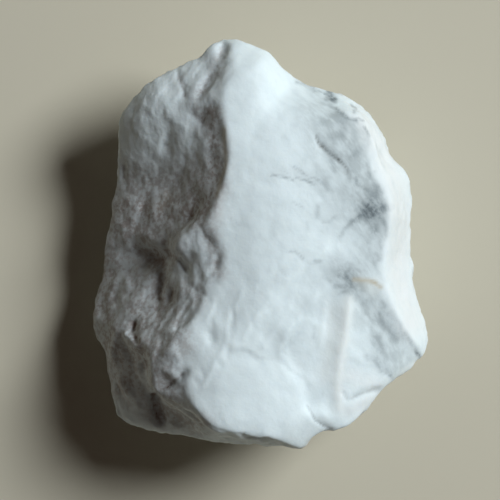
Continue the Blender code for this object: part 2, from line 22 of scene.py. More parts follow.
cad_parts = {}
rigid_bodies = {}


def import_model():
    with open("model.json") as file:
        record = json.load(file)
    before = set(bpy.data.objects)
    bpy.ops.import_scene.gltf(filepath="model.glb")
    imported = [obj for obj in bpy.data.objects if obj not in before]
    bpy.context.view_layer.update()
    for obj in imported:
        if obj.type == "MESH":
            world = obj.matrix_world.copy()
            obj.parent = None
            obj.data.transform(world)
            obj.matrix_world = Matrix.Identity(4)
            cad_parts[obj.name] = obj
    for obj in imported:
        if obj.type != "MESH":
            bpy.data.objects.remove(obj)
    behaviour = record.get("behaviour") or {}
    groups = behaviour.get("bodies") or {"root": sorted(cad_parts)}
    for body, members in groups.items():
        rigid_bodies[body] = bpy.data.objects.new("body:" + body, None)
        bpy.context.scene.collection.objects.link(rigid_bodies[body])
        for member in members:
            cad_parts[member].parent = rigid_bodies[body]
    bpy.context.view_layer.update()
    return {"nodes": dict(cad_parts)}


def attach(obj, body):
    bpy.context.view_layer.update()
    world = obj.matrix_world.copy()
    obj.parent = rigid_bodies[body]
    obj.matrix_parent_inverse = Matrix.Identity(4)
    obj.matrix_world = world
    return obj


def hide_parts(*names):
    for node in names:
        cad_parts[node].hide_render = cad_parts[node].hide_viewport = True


MM = 0.001
CAD_NODE = "magnesite_stone"
BODY = "root"

log = logging.getLogger("magnesite")

Path = tuple[tuple[float, float], ...]
Colour = tuple[float, float, float, float]

# How fast the height beside a pointed crest or crack falls off, in half widths
SHARP_FALL = 1.2

# How many half widths the two sides of a small scarp reach
STEP_REACH = 5

# How far apart the chance tilts of neighbouring breaks are drawn
TILT_SPREAD = 5.3

# How much finer each octave of a mottle is than the last
FINER = 2.1

# The swings of the ledges: how much lower and how much finer each octave is, and how many there are
LEDGE_SWING = (1.0, 2.0, 3)


class Profile(Enum):
    """How the height of a stroke falls off beside its line."""

    ROUND = "a soft rise or hollow"
    SHARP = "a pointed crest or crack"
    STEP = "a small scarp, high on the left of the line and low on its right"


class Mark(Enum):
    """The colour masks that are painted on the stone's vertices."""

    STAIN = "stain"
    VEIL = "veil"
    # The creamy edges, partly painted highlight along the lit crests
    CREAM_AND_HIGHLIGHT = "cream_and_highlight"
    # Thin dark veins, partly painted shade in the crack and the grooves
    VEIN_AND_GROOVE_SHADE = "vein_and_groove_shade"
    CLEAN = "clean"
    # Brownish weathering, which is also painted shade on the left side
    DUST_AND_SHADE = "dust_and_shade"
    SIDE = "side"
    # The left side, which the finish tints with a lighter, bluer painted light
    LEFT = "left"
    # Golden-brown threads, and a painted warm shade along the left crest
    RUST_AND_CREST_SHADE = "rust_and_crest_shade"
    # How hollow each place is; the hollows get painted shade
    HOLLOW = "hollow"


@dataclass(frozen=True)
class Stroke:
    """A small form carved along a line on the upper side, as seen from above, in millimetres."""

    points: Path
    half_width: float
    height: float
    profile: Profile = Profile.ROUND


@dataclass(frozen=True)
class Dab:
    """A colour mark painted along a line on the upper side, as seen from above, in millimetres."""

    points: Path
    half_width: float
    strength: float


# The crest between the steep left side and the broad plate, from the top of the stone down
ARRIS: Path = (
    (-3.2, 19.0), (-2.5, 17.6), (-2.3, 16.1), (-3.1, 15.0), (-3.5, 13.2), (-3.5, 11.4),
    (-3.0, 9.5), (-2.9, 8.1), (-3.2, 6.2), (-3.8, 4.4), (-4.4, 3.0), (-4.9, 2.2), (-4.1, 0.6),
    (-3.4, -0.8), (-3.4, -2.2), (-4.1, -3.9), (-5.4, -5.2), (-6.2, -6.4), (-6.9, -7.6),
    (-7.2, -8.8), (-7.3, -10.0), (-6.9, -11.2), (-6.7, -12.4), (-6.5, -14.0), (-5.9, -15.4),
    (-4.9, -16.5), (-3.3, -17.2), (-0.9, -17.6), (1.5, -18.1), (3.7, -19.1),
)

# The edge between the grey part of the broad plate and its clean bevel on the right
GREY_EDGE: Path = (
    (3.0, 15.2), (5.0, 14.2), (7.2, 12.5), (8.4, 11.7), (9.6, 11.2), (10.2, 9.8), (9.9, 8.4),
    (10.1, 7.0), (10.6, 6.0), (11.2, 4.9), (11.7, 3.6), (11.8, 2.2), (11.5, 0.6), (11.2, -1.8),
    (11.5, -3.9), (12.2, -5.8), (13.2, -7.7), (14.3, -9.2), (15.2, -10.3),
)

# The upper edge of the clean scar at the lower right
SCAR_EDGE: Path = ((7.4, -10.6), (8.5, -10.6), (9.6, -11.1), (10.6, -11.5), (11.9, -12.3))

# Small forms of the steep left side: the cleft, its grooves and pits
LEFT_SIDE_STROKES: tuple[Stroke, ...] = (
    Stroke(((-3.5, 18.2), (-3.7, 17.2), (-4.2, 16.0), (-4.6, 15.3), (-5.1, 14.5), (-5.7, 13.8)),
           0.26, -0.06),
    Stroke(((-7.6, 16.0), (-7.4, 15.2), (-7.1, 14.3), (-7.0, 13.7)), 0.20, -0.07),
    Stroke(((-6.1, 11.9), (-5.4, 11.3)), 0.40, -0.10),
    Stroke(((-8.5, 9.9), (-8.8, 9.1)), 0.30, -0.07),
    Stroke(((-7.8, 6.3), (-8.3, 5.2)), 0.40, -0.08),
    Stroke(((-6.0, 3.9), (-6.5, 2.6)), 0.35, -0.10),
    Stroke(((-10.7, 3.8), (-11.3, 2.4), (-11.7, 1.6)), 0.30, -0.06),
    Stroke(((-12.6, 7.2), (-12.6, 6.3)), 0.30, -0.15),
)

# The broken ground at the lower left: cracks around the block, grooves, pits and a ledge
LOWER_LEFT_STROKES: tuple[Stroke, ...] = (
    Stroke(((-5.7, 2.0), (-5.3, 1.3), (-4.9, 0.5)), 0.14, -0.08, Profile.SHARP),
    Stroke(((-8.1, -1.0), (-7.4, -1.7), (-6.7, -2.6)), 0.14, -0.20, Profile.SHARP),
    Stroke(((-4.1, -1.8), (-3.9, -2.3)), 0.22, -0.06),
    Stroke(((-8.1, -4.4), (-8.4, -5.2)), 0.25, -0.16),
    Stroke(((-9.1, -5.2), (-9.5, -6.1)), 0.25, -0.16),
    Stroke(((-6.9, -3.2), (-6.0, -4.1), (-5.0, -4.8)), 0.22, -0.05),
    Stroke(((-6.4, -5.4), (-7.2, -6.6), (-7.6, -7.6)), 0.22, -0.12),
    Stroke(((-9.0, -8.6), (-9.1, -9.8), (-9.4, -10.8)), 0.22, -0.06),
    Stroke(((-11.6, -7.5), (-11.7, -8.0)), 0.28, -0.22),
    Stroke(((-11.5, -8.7), (-11.3, -9.2)), 0.25, -0.20),
    Stroke(((-12.4, -8.4), (-11.8, -9.0), (-11.1, -9.5)), 0.22, 0.14),
    Stroke(((-6.9, -11.9), (-7.9, -12.8), (-9.3, -13.7)), 0.20, -0.20, Profile.SHARP),
    Stroke(((-9.9, -14.1), (-9.8, -15.3), (-9.2, -16.7)), 0.25, -0.25),
    Stroke(((-13.2, -8.2), (-13.7, -10.4), (-13.1, -12.6), (-12.2, -14.0)), 0.45, 0.22),
    Stroke(((-10.6, -10.9), (-10.8, -12.3), (-10.5, -13.4)), 0.30, -0.14),
)

# The broad plate: ledges, low crests, dimples, the open crack and the crease at its lower edge
PLATE_STROKES: tuple[Stroke, ...] = (
    Stroke(((5.1, 10.0), (5.4, 9.2), (6.0, 8.5), (6.7, 7.9), (7.4, 7.4), (8.0, 6.9), (8.1, 6.3)),
           0.16, -0.16, Profile.SHARP),
    Stroke(((5.2, 9.8), (5.9, 8.8), (6.9, 7.9), (7.8, 7.2)), 0.20, 0.05, Profile.STEP),
    Stroke(((-2.9, -6.2), (-3.0, -8.8), (-3.4, -9.8), (-4.0, -10.7), (-4.6, -12.0), (-5.2, -13.2)),
           0.22, 0.05),
    Stroke(((-4.2, -5.0), (-4.4, -6.3), (-4.8, -6.9)), 0.20, 0.05),
    Stroke(((0.2, 16.4), (2.2, 14.4), (3.8, 12.4)), 1.70, 0.20),
    Stroke(((-4.6, -8.2), (-4.4, -8.9)), 0.34, -0.06),
    Stroke(((-2.8, -9.6), (-3.0, -10.4)), 0.22, -0.07),
    Stroke(((-4.4, -7.0), (-4.2, -7.5)), 0.22, -0.05),
    Stroke(((-2.4, -6.4), (-2.2, -6.9)), 0.22, -0.04),
    Stroke(((-0.7, -7.2), (-0.5, -7.7)), 0.24, -0.04),
    Stroke(((-3.8, -10.7), (-3.6, -11.2)), 0.24, -0.05),
    Stroke(((-5.9, -12.5), (-5.6, -12.9)), 0.25, -0.06),
    Stroke(((-5.4, -11.6), (-5.2, -12.1)), 0.25, -0.05),
    Stroke(((-3.2, -9.8), (-1.6, -9.6), (-0.8, -9.9), (-0.2, -10.3), (0.4, -10.5), (1.4, -10.5)),
           0.12, 0.05, Profile.STEP),
    Stroke(((1.4, -10.3), (2.3, -10.8), (2.8, -11.5), (3.5, -12.0), (4.2, -12.4), (4.8, -13.3)),
           0.12, 0.05, Profile.STEP),
    Stroke(((5.8, -0.8), (3.9, -2.4), (1.8, -4.4), (-0.2, -6.6)), 0.35, 0.07),
    Stroke(((5.2, -4.8), (3.9, -6.4), (2.6, -8.2), (1.8, -9.8)), 0.30, 0.07),
    Stroke(((4.4, -2.0), (2.4, -4.6), (0.9, -6.0)), 0.30, -0.06),
    Stroke(((3.9, -7.4), (2.9, -8.8), (2.2, -9.8)), 0.35, -0.07),
    Stroke(((1.0, -4.8), (-0.4, -6.6), (-1.4, -8.6)), 0.26, 0.05),
    Stroke(((2.8, -6.0), (1.4, -7.6), (0.4, -9.4)), 0.24, 0.05),
    Stroke(((-1.6, -4.4), (-2.2, -5.8), (-2.0, -7.4)), 0.26, 0.045),
    Stroke(((4.8, 0.6), (3.0, -0.6), (1.0, -2.4)), 0.30, 0.045),
    Stroke(((4.3, -14.8), (4.9, -16.0), (5.7, -16.7), (6.7, -17.1)), 0.12, -0.14, Profile.SHARP),
    Stroke(((1.2, 6.2), (2.2, 6.1), (3.1, 5.9)), 0.12, -0.02),
    Stroke(((3.2, 6.2), (4.2, 5.8), (5.0, 5.4)), 0.12, -0.025),
    Stroke(((3.0, -0.7), (3.6, -1.2), (4.1, -1.8)), 0.14, -0.03),
    Stroke(((5.6, 2.0), (6.3, 2.0), (7.0, 2.5)), 0.14, -0.03),
)

# The facets at the lower right: crest, valley, the scar with its groove, and the slanting streaks
LOWER_RIGHT_STROKES: tuple[Stroke, ...] = (
    Stroke(((8.3, -5.0), (8.1, -7.0), (7.8, -9.0), (7.4, -11.0), (7.1, -13.0), (7.3, -15.2)),
           0.34, 0.05),
    Stroke(((5.9, -5.4), (5.8, -7.4), (5.5, -9.4)), 0.30, 0.05),
    Stroke(SCAR_EDGE, 0.12, 0.03, Profile.STEP),
    Stroke(((7.6, -13.7), (7.9, -14.3)), 0.15, -0.08),
    Stroke(((10.6, -6.4), (11.4, -7.4), (12.3, -8.3)), 0.30, -0.03),
    Stroke(((11.2, -6.5), (12.5, -7.5), (13.6, -8.9)), 0.14, 0.04),
    Stroke(((10.8, -8.8), (11.3, -10.3), (11.7, -11.8)), 0.36, -0.05),
    Stroke(((9.0, -5.6), (9.9, -6.8), (10.2, -8.4)), 0.25, -0.05),
    Stroke(((12.2, -6.4), (13.2, -8.0), (14.2, -9.4)), 0.24, -0.03),
)

# The clean right bevel and the top right rim: faint nicks
RIM_STROKES: tuple[Stroke, ...] = (
    Stroke(((7.1, 12.5), (7.6, 12.0), (8.3, 11.6), (9.0, 11.4)), 0.14, -0.05, Profile.SHARP),
    Stroke(((9.6, 10.9), (9.9, 10.3), (10.2, 9.9)), 0.14, -0.05, Profile.SHARP),
    Stroke(((6.2, 13.8), (6.8, 13.6)), 0.30, -0.10),
    Stroke(((4.0, 14.7), (5.0, 14.3), (6.0, 13.9)), 0.22, -0.07),
    Stroke(((8.5, 12.8), (8.8, 12.3)), 0.20, -0.05),
    Stroke(((12.4, 5.8), (12.6, 4.4), (12.9, 3.2)), 0.25, -0.05),
    Stroke(((12.9, -1.0), (12.7, -3.0), (13.2, -4.6)), 0.30, -0.05),
)
STROKES = (
    LEFT_SIDE_STROKES + LOWER_LEFT_STROKES + PLATE_STROKES + LOWER_RIGHT_STROKES + RIM_STROKES)

# Grey veils: the clouded part of the plate, the facets at the lower right, and the valley
VEILS: tuple[Dab, ...] = (
    Dab(((6.8, 11.6), (7.8, 9.4), (8.8, 7.2), (9.6, 4.8)), 2.3, 1.00),
    Dab(((9.6, 4.8), (10.0, 2.4), (9.8, 0.0), (9.4, -2.6), (9.0, -4.6)), 1.8, 0.60),
    Dab(((4.8, 12.6), (5.4, 9.4), (6.0, 6.0), (6.4, 3.0)), 1.7, 0.32),
    Dab(((1.4, 6.6), (3.2, 6.2), (5.2, 5.7)), 0.9, 0.18),
    Dab(((9.6, -5.6), (11.0, -7.6), (12.2, -9.2), (12.8, -10.6)), 1.5, 0.74),
    Dab(((6.9, -5.4), (6.8, -8.5), (6.2, -10.8), (5.4, -13.4)), 0.80, 0.20),
    Dab(((6.6, -2.2), (4.8, -4.0), (3.6, -6.6), (2.4, -9.4)), 1.2, 0.18),
    Dab(((1.4, 2.6), (0.2, 0.0), (-1.0, -3.4)), 2.0, 0.10),
)

# Dark blue-grey stains: the large one by the right arris, its tendrils, and the smaller ones
STAINS: tuple[Dab, ...] = (
    Dab(((9.9, 3.3), (10.3, 2.9)), 0.50, 0.85),
    Dab(((9.6, 3.0), (10.3, 3.2), (10.9, 3.3)), 0.75, 0.62),
    Dab(((10.2, 3.6), (10.5, 4.3), (10.9, 4.8)), 0.75, 0.40),
    Dab(((9.4, 2.5), (10.8, 3.6)), 1.5, 0.22),
    Dab(((10.9, 3.2), (11.6, 3.3), (12.2, 3.4)), 0.30, 0.42),
    Dab(((9.6, 2.9), (9.1, 2.5), (8.5, 2.1)), 0.28, 0.50),
    Dab(((8.5, 2.1), (7.9, 1.5), (7.4, 0.7)), 0.20, 0.26),
    Dab(((10.9, 2.7), (11.4, 2.1), (11.7, 1.2), (11.7, 0.6)), 0.28, 0.42),
    Dab(((10.1, 2.2), (10.8, 1.7), (10.6, 0.9)), 0.40, 0.24),
    Dab(((9.9, 4.9), (9.4, 5.2), (8.9, 5.5)), 0.17, 0.42),
    Dab(((8.85, 6.0), (8.95, 5.8)), 0.14, 0.75),
    Dab(((10.6, 6.75), (10.65, 6.6)), 0.12, 0.85),
    Dab(((10.0, 7.2), (10.3, 6.4), (10.7, 5.5)), 0.32, 0.28),
    Dab(((8.5, 8.0), (9.0, 8.4), (9.4, 8.1)), 0.32, 0.30),
    Dab(((6.6, 13.7), (6.9, 13.5)), 0.30, 0.95),
    Dab(((6.1, 13.9), (6.6, 13.7)), 0.20, 0.60),
    Dab(((6.4, 14.2), (6.7, 14.2)), 0.24, 0.60),
    Dab(((6.2, 13.4), (6.9, 13.1)), 0.26, 0.50),
    Dab(((3.5, 15.0), (4.2, 14.8), (4.9, 14.5)), 0.22, 0.45),
    Dab(((5.1, 14.2), (6.0, 14.0)), 0.20, 0.35),
    Dab(((7.1, 12.5), (7.5, 12.1), (8.2, 11.6), (8.9, 11.4)), 0.15, 0.50),
    Dab(((9.0, 11.65), (9.5, 11.4)), 0.11, 0.40),
    Dab(((8.5, 12.85), (8.9, 12.6), (8.7, 12.2)), 0.16, 0.42),
    Dab(((9.6, 10.8), (9.9, 10.3), (10.1, 10.0)), 0.13, 0.55),
    Dab(((5.6, 11.3), (5.8, 11.1)), 0.40, 0.20),
    Dab(((7.8, 11.4), (7.7, 10.8), (7.6, 10.0)), 0.42, 0.28),
    Dab(((6.5, 10.0), (6.7, 9.8)), 0.34, 0.26),
    Dab(((6.5, 7.6), (6.9, 6.8)), 0.26, 0.30),
    Dab(((6.0, 5.8), (6.3, 5.2)), 0.42, 0.26),
    Dab(((11.2, 8.7), (11.1, 8.1)), 0.20, 0.20),
    Dab(((12.4, 5.6), (12.5, 5.0), (12.7, 4.4)), 0.15, 0.14),
    Dab(((1.1, 6.3), (2.0, 6.15), (2.6, 6.0), (3.0, 5.85)), 0.12, 0.34),
    Dab(((3.3, 6.1), (4.1, 5.85), (4.9, 5.5)), 0.12, 0.38),
    Dab(((3.1, 7.1), (3.8, 6.7), (4.6, 6.1), (5.4, 5.9)), 0.11, 0.26),
    Dab(((2.1, 7.0), (2.5, 6.5)), 0.12, 0.20),
    Dab(((5.2, 2.5), (5.3, 3.4)), 0.30, 0.24),
    Dab(((5.9, 2.0), (6.5, 2.05), (7.0, 2.5)), 0.13, 0.24),
    Dab(((4.3, 1.9), (4.4, 1.3)), 0.20, 0.12),
    Dab(((1.2, 1.9), (1.3, 0.7)), 0.20, 0.14),
    Dab(((3.0, 3.8), (3.9, 3.3)), 0.11, 0.20),
    Dab(((2.6, -0.7), (3.3, -0.8), (4.0, -1.4)), 0.12, 0.22),
    Dab(((2.1, -2.4), (2.4, -2.9)), 0.22, 0.16),
    Dab(((5.0, -1.75), (5.6, -1.65)), 0.16, 0.26),
    Dab(((5.8, -3.0), (6.4, -3.5)), 0.17, 0.24),
    Dab(((-2.6, 2.3), (-1.9, 1.7)), 0.10, 0.16),
    Dab(((7.2, -1.9), (8.0, -2.6), (8.6, -2.2)), 0.90, 0.26),
    Dab(((10.5, 1.4), (11.1, 0.2), (10.9, -1.4)), 0.38, 0.30),
    Dab(((9.9, 0.2), (10.3, -0.8), (10.6, -2.0)), 0.30, 0.22),
    Dab(((7.6, -2.8), (8.4, -3.2), (8.8, -4.1)), 0.85, 0.30),
    Dab(((8.3, -3.4), (8.6, -3.9)), 0.42, 0.38),
    Dab(((8.2, -3.2), (7.3, -2.9)), 0.18, 0.30),
    Dab(((7.9, -3.9), (6.8, -3.9)), 0.20, 0.32),
    Dab(((8.1, -4.3), (7.3, -4.6)), 0.18, 0.26),
    Dab(((10.9, -6.6), (11.7, -7.6), (12.5, -8.6)), 0.50, 0.30),
    Dab(((10.8, -8.8), (11.1, -10.3), (11.5, -11.6)), 0.62, 0.30),
    Dab(((9.9, -10.4), (10.9, -11.1), (11.8, -11.9)), 0.34, 0.22),
    Dab(((11.3, -5.5), (11.5, -5.8)), 0.25, 0.30),
    Dab(((9.7, -5.4), (10.2, -5.6)), 0.28, 0.24),
    Dab(((12.0, -6.5), (12.9, -7.7)), 0.26, 0.26),
    Dab(((13.1, -8.1), (13.9, -8.9), (14.6, -9.9)), 0.30, 0.24),
    Dab(((14.5, -10.1), (14.9, -10.5)), 0.22, 0.62),
    Dab(((12.0, -12.3), (12.3, -12.7)), 0.20, 0.45),
    Dab(((3.4, -8.2), (2.6, -9.2), (2.1, -9.8)), 0.40, 0.15),
    Dab(((5.0, -7.6), (5.0, -8.6)), 0.20, 0.16),
)

# Pale creamy edges along the crests, partly painted highlight where the crests catch the light
CREAM_AND_HIGHLIGHT_DABS: tuple[Dab, ...] = (
    Dab(((8.2, -5.3), (8.0, -7.0), (7.7, -9.0), (7.3, -11.0), (7.1, -13.0), (7.3, -15.3)),
        0.50, 0.75),
    Dab(((6.8, -6.2), (6.6, -9.0), (6.2, -12.0)), 0.90, 0.50),
    Dab(((13.0, -12.4), (13.8, -11.6), (14.8, -10.9)), 0.30, 0.45),
)

# Golden-brown threads across the right part of the plate; the line along the left crest is painted
# warm shade
RUST_AND_CREST_SHADE_DABS: tuple[Dab, ...] = (
    Dab(((8.6, -3.25), (9.6, -3.35), (10.6, -3.6), (11.2, -4.05)), 0.19, 0.62),
    Dab(((10.3, -3.5), (10.7, -3.7)), 0.14, 0.55),
    Dab(((9.4, -3.6), (10.6, -4.2)), 0.60, 0.14),
    Dab(((-3.4, 10.6), (-3.2, 9.0), (-3.1, 7.6), (-3.4, 6.2), (-4.0, 4.4)), 0.22, 0.55),
    Dab(((-9.2, 3.6), (-8.6, 4.4)), 0.70, 0.20),
)

# Thin dark veins, partly painted shade: the open crack, the grooves of the scar and the crease, and
# the cleft
VEIN_AND_GROOVE_SHADE_DABS: tuple[Dab, ...] = (
    Dab(((5.2, 9.9), (5.4, 9.3), (5.8, 8.8)), 0.12, 0.62),
    Dab(((5.6, 8.9), (6.2, 8.5), (6.8, 8.1), (7.3, 7.7)), 0.20, 0.42),
    Dab(((7.0, 7.9), (7.6, 7.4), (8.1, 6.9)), 0.09, 0.48),
    Dab(((8.05, 6.9), (8.05, 6.5)), 0.12, 0.40),
    Dab(((8.4, -14.4), (9.0, -14.0), (9.7, -13.8), (10.3, -13.5), (10.9, -13.5)),
        0.16, 0.26),
    Dab(((4.4, -15.0), (5.0, -16.1), (5.8, -16.8), (6.6, -17.1)), 0.09, 0.30),
    Dab(((-3.6, 17.4), (-4.2, 16.0), (-4.6, 15.3), (-5.1, 14.5)), 0.18, 0.30),
)

# The clean white parts: the right bevel, the lower crest and the scar, and the rim of the plate
CLEANS: tuple[Dab, ...] = (
    Dab(((9.4, 11.0), (11.3, 8.6), (12.6, 5.0), (13.0, 1.0), (12.8, -3.4), (14.2, -7.4)),
        1.5, 1.00),
    Dab(((7.9, -6.0), (7.5, -10.0), (7.2, -14.0)), 0.45, 0.60),
    Dab(((8.4, -12.2), (10.6, -12.9)), 0.90, 0.50),
    Dab(((8.2, -15.4), (10.6, -14.4)), 0.70, 0.60),
    Dab(((-3.4, 5.0), (-3.9, 3.4), (-3.9, 2.2)), 0.60, 0.50),
)

# Brownish-grey weathering of the steep left side, which is also painted shade: heaviest below the
# shelf, beside the crest and in the corners
DUST_AND_SHADE_DABS: tuple[Dab, ...] = (
    Dab(((-11.6, 6.0), (-8.4, 5.6), (-5.4, 6.2)), 2.2, 0.62),
    Dab(((-12.6, 3.4), (-9.4, 3.0), (-6.4, 3.0)), 2.0, 0.92),
    Dab(((-4.7, 0.9), (-4.2, -0.6), (-3.9, -2.6)), 0.85, 0.55),
    Dab(((-4.4, 12.0), (-4.0, 8.4), (-4.4, 5.2), (-5.4, 3.2)), 0.95, 0.85),
    Dab(((-11.8, -3.0), (-11.4, -5.6)), 1.30, 0.60),
    Dab(((-13.0, 1.2), (-10.4, 0.2), (-8.8, -0.8)), 1.9, 0.80),
    Dab(((-14.4, -2.0), (-15.0, -6.0), (-13.8, -9.6), (-12.6, -13.0)), 2.2, 0.85),
    Dab(((-9.4, -1.6), (-9.6, -4.0), (-9.9, -5.8)), 1.20, 0.70),
    Dab(((-8.4, -4.6), (-7.0, -4.2), (-5.9, -5.0)), 1.10, 0.55),
    Dab(((-9.6, -7.4), (-9.6, -11.0), (-8.6, -13.8)), 1.90, 0.70),
    Dab(((-8.2, -5.6), (-7.4, -7.6), (-7.0, -9.4)), 1.20, 0.50),
    Dab(((-9.4, -15.6), (-7.6, -16.2), (-5.6, -16.8)), 1.3, 0.70),
    Dab(((-11.8, -6.6), (-11.3, -8.4), (-11.0, -10.2)), 1.00, 0.75),
    Dab(((-3.7, 17.6), (-4.4, 15.6), (-5.2, 14.4)), 0.60, 0.45),
    Dab(((-7.4, 15.4), (-7.0, 13.9)), 0.32, 0.45),
    Dab(((-5.6, 14.0), (-6.2, 13.0), (-5.4, 11.6)), 0.70, 0.45),
)
DABS: dict[Mark, tuple[Dab, ...]] = {
    Mark.VEIL: VEILS, Mark.STAIN: STAINS, Mark.CREAM_AND_HIGHLIGHT: CREAM_AND_HIGHLIGHT_DABS, Mark.RUST_AND_CREST_SHADE: RUST_AND_CREST_SHADE_DABS,
    Mark.VEIN_AND_GROOVE_SHADE: VEIN_AND_GROOVE_SHADE_DABS, Mark.CLEAN: CLEANS, Mark.DUST_AND_SHADE: DUST_AND_SHADE_DABS,
}


@dataclass(frozen=True)
class Rise:
    """A soft rise from 0 at one value to 1 at another, which may be the lower of the two."""

    start: float
    end: float

    def of(self, values: np.ndarray) -> np.ndarray:
        """One share from 0 to 1 for each value."""
        share = np.clip((values - self.start) / (self.end - self.start), 0, 1)
        return share * share * (3 - 2 * share)


def placed(name: str, data: bpy.types.ID) -> bpy.types.Object:
    """Adds an object to the scene.

    Args:
        name: Its name.
        data: Its mesh, light or camera.

    Returns:
        The object.
    """
    made = bpy.data.objects.new(name, data)
    bpy.context.scene.collection.objects.link(made)
    return made


def smooth(shape: bmesh.types.BMesh, verts: Any) -> None:
    """Moves every vertex half way to the middle of its neighbours."""
    bmesh.ops.smooth_vert(
        shape, verts=verts, factor=0.5, use_axis_x=True, use_axis_y=True, use_axis_z=True)


@dataclass(frozen=True)
class Beside:
    """Where points lie against a path, as seen from above.

    Attributes:
        far: The distance to the path.
        across: The offset across it, above zero on its left.
        along: How far along the path its nearest place lies, from 0 to 1.
    """

    far: np.ndarray
    across: np.ndarray
    along: np.ndarray

    @classmethod
    def path(cls, path: Path, flat: np.ndarray) -> "Beside":
        """Measures every point against a path.

        Args:
            path: The path's points.
            flat: The x and y of the points to measure, as rows.

        Returns:
            One distance, offset and share of the path for each point.
        """
        corners = np.array(path)
        lengths = np.linalg.norm(np.diff(corners, axis=0), axis=1)
        passed = np.concatenate(([0], np.cumsum(lengths)))
        nearest = np.full(len(flat), np.inf)
        offset = np.zeros(len(flat))
        progress = np.zeros(len(flat))
        for number, length in enumerate(lengths):
            way = (corners[number + 1] - corners[number]) / length
            from_start = flat - corners[number]
            run = np.clip(from_start @ way, 0, length)
            far = np.linalg.norm(from_start - run[:, None] * way, axis=1)
            across = way[0] * from_start[:, 1] - way[1] * from_start[:, 0]
            closer = far < nearest
            nearest = np.where(closer, far, nearest)
            offset = np.where(closer, across, offset)
            progress = np.where(closer, (passed[number] + run) / passed[-1], progress)
        return cls(nearest, offset, progress)


def stroke_height(stroke: Stroke, flat: np.ndarray) -> np.ndarray:
    """How far one stroke raises or lowers every point.

    Args:
        stroke: The stroke to carve.
        flat: The x and y of the points, as rows.

    Returns:
        One height for each point, in millimetres.
    """
    beside = Beside.path(stroke.points, flat)
    reach = beside.far / stroke.half_width
    if stroke.profile is Profile.ROUND:
        return stroke.height * np.exp(-reach * reach)
    taper = np.sqrt(np.clip(4 * beside.along * (1 - beside.along), 0, 1))
    if stroke.profile is Profile.SHARP:
        return stroke.height * taper * np.exp(-SHARP_FALL * reach)
    fade = np.exp(-(reach / STEP_REACH) ** 2)
    return stroke.height * taper * np.tanh(beside.across / stroke.half_width) * fade


@dataclass
class Surface:
    """The places and normals of a mesh's vertices, as the carver reads them."""

    mesh: bpy.types.Mesh
    places: np.ndarray = field(init=False)
    facing: np.ndarray = field(init=False)

    def __post_init__(self) -> None:
        """Reads the mesh."""
        self.places = self.read(self.mesh.vertices, "co")
        self.facing = self.read(self.mesh.vertex_normals, "vector")

    @staticmethod
    def read(collection: Any, attribute: str) -> np.ndarray:
        """Reads one vector of every item of a mesh collection.

        Args:
            collection: The mesh's vertices or normals.
            attribute: The name of the vector.

        Returns:
            The vectors, as rows.
        """
        values = np.empty(len(collection) * 3, np.float32)
        collection.foreach_get(attribute, values)
        return values.reshape(-1, 3).astype(float)

    def raised(self, height: np.ndarray) -> np.ndarray:
        """Every place, moved out along its normal by its height."""
        return self.places + height[:, None] * self.facing

    def write(self, places: np.ndarray) -> "Surface":
        """Moves the vertices and reads the mesh again.

        Args:
            places: Where they go, as rows.

        Returns:
            The mesh as it is then.
        """
        self.mesh.vertices.foreach_set("co", places.astype(np.float32).ravel())
        self.mesh.update()
        return Surface(self.mesh)

    def paint(self, mark: Mark, strength: np.ndarray) -> None:
        """Writes a colour mask as an attribute of the vertices."""
        layer = self.mesh.attributes.new(mark.value, "FLOAT", "POINT")
        layer.data.foreach_set("value", np.clip(strength, 0, 1).astype(np.float32))


@dataclass(frozen=True)
class Chips:
    """Small flat breaks at chance tilts, side by side.

    Attributes:
        width: How far the middles of the breaks lie apart.
        slope: How steep they tilt.
        softness: How rounded the creases between them are, as a share of the width.
    """

    width: float
    slope: float
    softness: float

    def at(self, point: Vector) -> float:
        """The height in millimetres at one point.

        Args:
            point: The point, in millimetres.

        Returns:
            The height of the nearest breaks, blended where they meet.
        """
        scaled = point / self.width
        far, middles = noise.voronoi(scaled)
        height = 0.0
        total = 0.0
        for distance, middle in zip(far, middles):
            weight = math.exp((far[0] - distance) / self.softness)
            height += weight * noise.noise_vector(middle * TILT_SPREAD).dot(scaled - middle)
            total += weight
        return self.slope * self.width * height / total

    def over(self, points: Sequence[Vector]) -> np.ndarray:
        """The height in millimetres at every point."""
        return np.array([self.at(point) for point in points])


@dataclass(frozen=True)
class Mottle:
    """Soft uneven relief without crevices.

    Attributes:
        height: How far it swings to each side.
        width: The width of its widest swells.
        octaves: How many finer swells lie on top of those.
        fall: How much lower the finer swells are. 1 keeps their slopes alike, less is rougher.
        grain: The direction that the swells are stretched along, as long as their stretch.
    """

    height: float
    width: float
    octaves: int
    fall: float
    grain: Vector = Vector()

    def over(self, points: Sequence[Vector]) -> np.ndarray:
        """The height in millimetres at every point.

        Args:
            points: The points, in millimetres.

        Returns:
            One height for each point.
        """
        squeeze = 1 - 1 / max(self.grain.length, 1)
        way = self.grain.normalized()
        squeezed = [(point - squeeze * point.dot(way) * way) / self.width for point in points]
        return self.height * np.array([
            noise.fractal(place, self.fall, FINER, self.octaves) for place in squeezed])


@dataclass(frozen=True)
class Ledges:
    """Small steps where the break jumped from one layer to the next.

    Attributes:
        height: How high a riser stands.
        spacing: How far apart the layers lie.
        facing: The direction across the layers.
        wander: How far the layers swing, in layers.
        riser: The share of the spacing that a riser takes.
        swing_width: The width of those swings, in layers.
    """

    height: float
    spacing: float
    facing: Vector
    wander: float
    riser: float
    swing_width: float = 1.8

    def at(self, place: Vector) -> float:
        """How far a point stands on its ledge.

        Args:
            place: The point, in millimetres.

        Returns:
            Its height as a share of the riser's, from -0.5 to 0.5.
        """
        swing = noise.fractal(place / (self.swing_width * self.spacing), *LEDGE_SWING)
        level = place.dot(self.facing) / self.spacing + self.wander * swing
        tread = level - math.floor(level)
        return min(tread / (1 - self.riser), (1 - tread) / self.riser) - 0.5

    def over(self, points: Sequence[Vector]) -> np.ndarray:
        """The height in millimetres at every point."""
        return self.height * np.array([self.at(point) for point in points])


